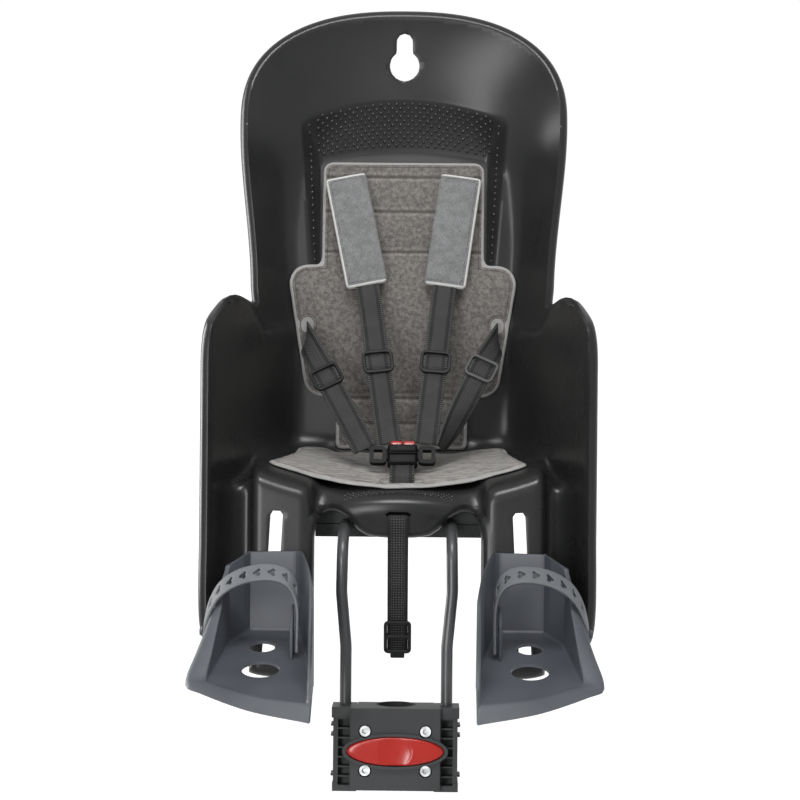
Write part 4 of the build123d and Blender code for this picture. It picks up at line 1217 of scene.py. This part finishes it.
# Clamp block
# Two glass-filled nylon halves bolted round the seat tube, with ribbed sockets for the legs of the bow.
# They keep the solids' own shape, with their edges rounded.


def softened(node, name, finish, width, angle=25.0):
    """The node's own shape with its loose triangles joined and its edges rounded."""
    bm = bmesh.new()
    bm.from_mesh(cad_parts[node].data)
    bmesh.ops.remove_doubles(bm, verts=bm.verts, dist=0.00002)
    bmesh.ops.dissolve_limit(bm, angle_limit=math.radians(1.5), verts=bm.verts, edges=bm.edges)
    made = piece(bm, name, finish, "block_plastic", "seat", node, sharp=angle, lean=False)
    edge_rounding(made, width, 3, angle)


block_dark, block_light = (0.031, 0.0324, 0.0336), (0.045, 0.0471, 0.0486)
block_nylon = moulded("block_nylon", block_dark, block_light, 0.5, 1100.0, gloss=0.16)
softened("block_front", "block_shell", block_nylon, 0.7)
softened("block_jaw", "block_rear", block_nylon, 1.2)

# Release button
# A glossy red oval with a round finger dish, pressed in to draw both latches out of the bow.
BUTTON_HALF = 45.5
BUTTON_TALL = 13.5
BUTTON_FACE = -27.4
BUTTON_BACK = -28.0
DISH_RADIUS = 15


def off_button(u, v):
    return (np.hypot(u / BUTTON_HALF, v / BUTTON_TALL) - 1) * BUTTON_TALL


button_bm, u, v = trimmed(np.linspace(-46, 46, 93), np.linspace(-14, 14, 31), off_button)
brink = np.clip((1 - np.hypot(u / BUTTON_HALF, v / BUTTON_TALL)) / 0.2, 0, 1)
swelling = 3.6 + 1.7 * np.sqrt(1 - (1 - brink) ** 2) + 1.0 * (1 - (u / BUTTON_HALF) ** 2)
dish = 2.1 * np.clip(1.12 - (np.hypot(u, v) / DISH_RADIUS) ** 2, 0, 1) ** 0.7
place_points(button_bm, u, BUTTON_FACE - swelling + dish, v)
rim_edges = [edge for edge in button_bm.edges if edge.is_boundary]
for vert in points_of(bmesh.ops.extrude_edge_only(button_bm, edges=rim_edges)["geom"]):
    vert.co.y = BUTTON_BACK
bmesh.ops.holes_fill(button_bm, edges=[edge for edge in button_bm.edges if edge.is_boundary], sides=0)
bmesh.ops.recalc_face_normals(button_bm, faces=button_bm.faces)
piece(button_bm, "red_button", red_gloss, "red_plastic", "release_button", "release_button", sharp=50)

# Safety strap
# A ribbed webbing tail hangs plumb from the nose of the shell and ties round the bike's frame.
# A ladder lock with a short tab sits near its end.
TAIL_WIDTH = 20
PLUMB_SLOPE = 0.3057
LOCK_BLOCKS = [
    ((-12, -2.0, 0.9), (12, 2.0, 4.0), 0.9),
    ((-7, -22, 0.9), (7, -14, 4.0), 1.4),
    ((-12, -2.5, -3.2), (12, 2.5, -1.0), 0.9),
    ((-13.2, -8, -3.0), (-10.6, 8, 2.0), 0.8),
    ((10.6, -8, -3.0), (13.2, 8, 2.0), 0.8),
]


def plumb(z):
    return Vector((0, 30.5 + (217 - z) * PLUMB_SLOPE, z))


plain_rib = woven("ribbed_webbing", 0.0)
tail = [Vector((0, 60, 217)), Vector((0, 44, 217)), Vector((0, 34.5, 216.4))]
stations = [(spot, ACROSS) for spot in tail + [plumb(z) for z in (211, 180, 120, 81)]]
webbing("safety_webbing", stations, TAIL_WIDTH, plain_rib, "safety_strap")
lock_place = strap_place(plumb(97), ACROSS, Vector((0, -0.2924, 0.9563)))
lock_bm = bmesh.new()
rounded_frame(lock_bm, lock_place, 27, 34, 4.5, 3.4, 0.9, 4.2)
for low, high, radius in LOCK_BLOCKS:
    rounded_block(lock_bm, lock_place, low, high, radius)
lock = piece(lock_bm, "ladder_lock", black_plastic, "buckle_plastic", "seat", "safety_lock")
edge_rounding(lock, 0.9)

# Bow, carrier and small metal
# The bow is one bent steel bar in dark powder coat; carrier and clamps under the pan are nylon.
# Bolts, nuts and screws are zinc plated, the springs bare steel, and rubber liners grip the tube.


def metal(name, dark, light, rough):
    material, shader, place = start_finish(name)
    cloud = place.noise(160.0, 4.0).ramp(0.3, 0.7)
    scratch = place.noise(900.0, 2.0)
    feed(
        shader,
        Base_Color=cloud.tint(dark, light),
        Roughness=rough + 0.14 * cloud - 0.06 * scratch,
        Normal=scratch.bump(0.2, 0.00008),
        Metallic=1.0,
    )
    return material


coat_dark, coat_light = (0.056, 0.0575, 0.0597), (0.077, 0.0792, 0.0825)
powder_coat = moulded("powder_coat", coat_dark, coat_light, 0.36, 1300.0, gloss=0.3)
zinc = metal("zinc_plate", (0.27, 0.28, 0.28), (0.42, 0.43, 0.43), 0.4)
spring_steel = metal("spring_steel", (0.30, 0.30, 0.31), (0.48, 0.48, 0.49), 0.28)
liner_rubber = moulded("liner_rubber", (0.012, 0.012, 0.012), (0.02, 0.02, 0.02), 0.75, 700.0)
kept_nodes = [
    (powder_coat, ["support_bow"]),
    (block_nylon, ["bow_carrier", "bow_clamp_front", "bow_clamp_rear"]),
    (zinc, ["carrier_screws", "block_bolts", "block_nuts", "rod_latch_left", "rod_latch_right"]),
    (liner_rubber, ["tube_liners"]),
    (spring_steel, ["button_springs", "buckle_spring_left", "buckle_spring_right"]),
    (black_plastic, ["shoulder_anchor_left", "shoulder_anchor_right"]),
    (black_plastic, ["waist_anchor_left", "waist_anchor_right", "crotch_anchor"]),
]
for finish, nodes in kept_nodes:
    for node in nodes:
        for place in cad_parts[node].material_slots:
            place.material = finish

# Stage, light and camera
# A pale floor well below the seat, a soft key lamp and top lamp, and three strips that only give sheen.
# The camera stands square to the seat tube, as in the photograph.
FLOOR_LEVEL = -0.3
FLOOR_GLOW = (0.55, 0.55, 0.55)
WORLD_LIGHT = 0.55
stage_bm = bmesh.new()
bmesh.ops.create_grid(stage_bm, x_segments=1, y_segments=1, size=9.0)
stage_mesh = bpy.data.meshes.new("floor")
stage_bm.to_mesh(stage_mesh)
stage_bm.free()
floor = bpy.data.objects.new("floor", stage_mesh)
floor.location = (0, 0, FLOOR_LEVEL)
bpy.context.scene.collection.objects.link(floor)


def seen_directly(tree):
    """One where the camera looks, or sees in a reflection or through glass; nought for other light."""
    rays = tree.nodes.new("ShaderNodeLightPath")
    camera_ray, glossy_ray, glass_ray = (
        Tone(tree, rays.outputs[f"Is {kind} Ray"]) for kind in ("Camera", "Glossy", "Transmission")
    )
    return camera_ray.math("MAXIMUM", camera_ray.math("MAXIMUM", camera_ray, glossy_ray), glass_ray)


pale, pale_shader, _ = start_finish("pale_floor")
feed(
    pale_shader,
    Base_Color=(0.86, 0.86, 0.86, 1),
    Roughness=0.95,
    Specular_IOR_Level=0.0,
    Emission_Color=seen_directly(pale.node_tree).tint((0, 0, 0), FLOOR_GLOW),
    Emission_Strength=1.0,
)
stage_mesh.materials.append(pale)

world = bpy.data.worlds.new("studio")
bpy.context.scene.world = world
world.use_nodes = True
brightness = WORLD_LIGHT + (1 - WORLD_LIGHT) * seen_directly(world.node_tree)
feed(world.node_tree.nodes["Background"], Color=(1, 1, 1, 1), Strength=brightness)


def lamp(name, place, aim, size, power, sheen_only=False):
    data = bpy.data.lights.new(name, "AREA")
    data.shape = "RECTANGLE"
    data.size, data.size_y = size
    data.energy = power
    made = bpy.data.objects.new(name, data)
    made.location = place
    made.rotation_euler = (Vector(aim) - Vector(place)).to_track_quat("-Z", "Y").to_euler()
    made.visible_diffuse = not sheen_only
    bpy.context.scene.collection.objects.link(made)


lamp("left_key", (-0.76, -1.8, 0.88), (0.03, 0.3, 0.48), (0.4, 1.25), 12)
lamp("left_sheen", (-0.76, -1.8, 0.88), (0.03, 0.3, 0.48), (0.34, 1.25), 46, sheen_only=True)
lamp("edge_sheen", (-1.75, 0.75, 0.6), (0, 0.15, 0.4), (0.7, 1.6), 70, sheen_only=True)
lamp("top_soft", (0.1, -0.5, 2.2), (0, 0.15, 0.3), (1.1, 0.7), 19)
lamp("nose_sheen", (-0.1, -0.6, 2.2), (0, 0.1, 0.25), (0.8, 0.5), 42, sheen_only=True)

CAMERA_STAND = Vector((26, -2000, 329))
CAMERA_AIM = Vector((1.4, -12, 329))
CAMERA_ROLL = math.radians(0.3)
camera = bpy.data.objects.new("camera", bpy.data.cameras.new("camera"))
bpy.context.scene.collection.objects.link(camera)
bpy.context.scene.camera = camera
camera.data.sensor_width = 36.0
camera.data.lens = 94.7
camera.data.clip_end = 50.0
stand = LEAN @ CAMERA_STAND
facing = (LEAN @ CAMERA_AIM - stand).to_track_quat("-Z", "Y").to_matrix().to_4x4()
camera.matrix_world = Matrix.Translation(stand) @ facing @ Matrix.Rotation(CAMERA_ROLL, 4, "Z")
bpy.context.scene.view_settings.view_transform = "Standard"
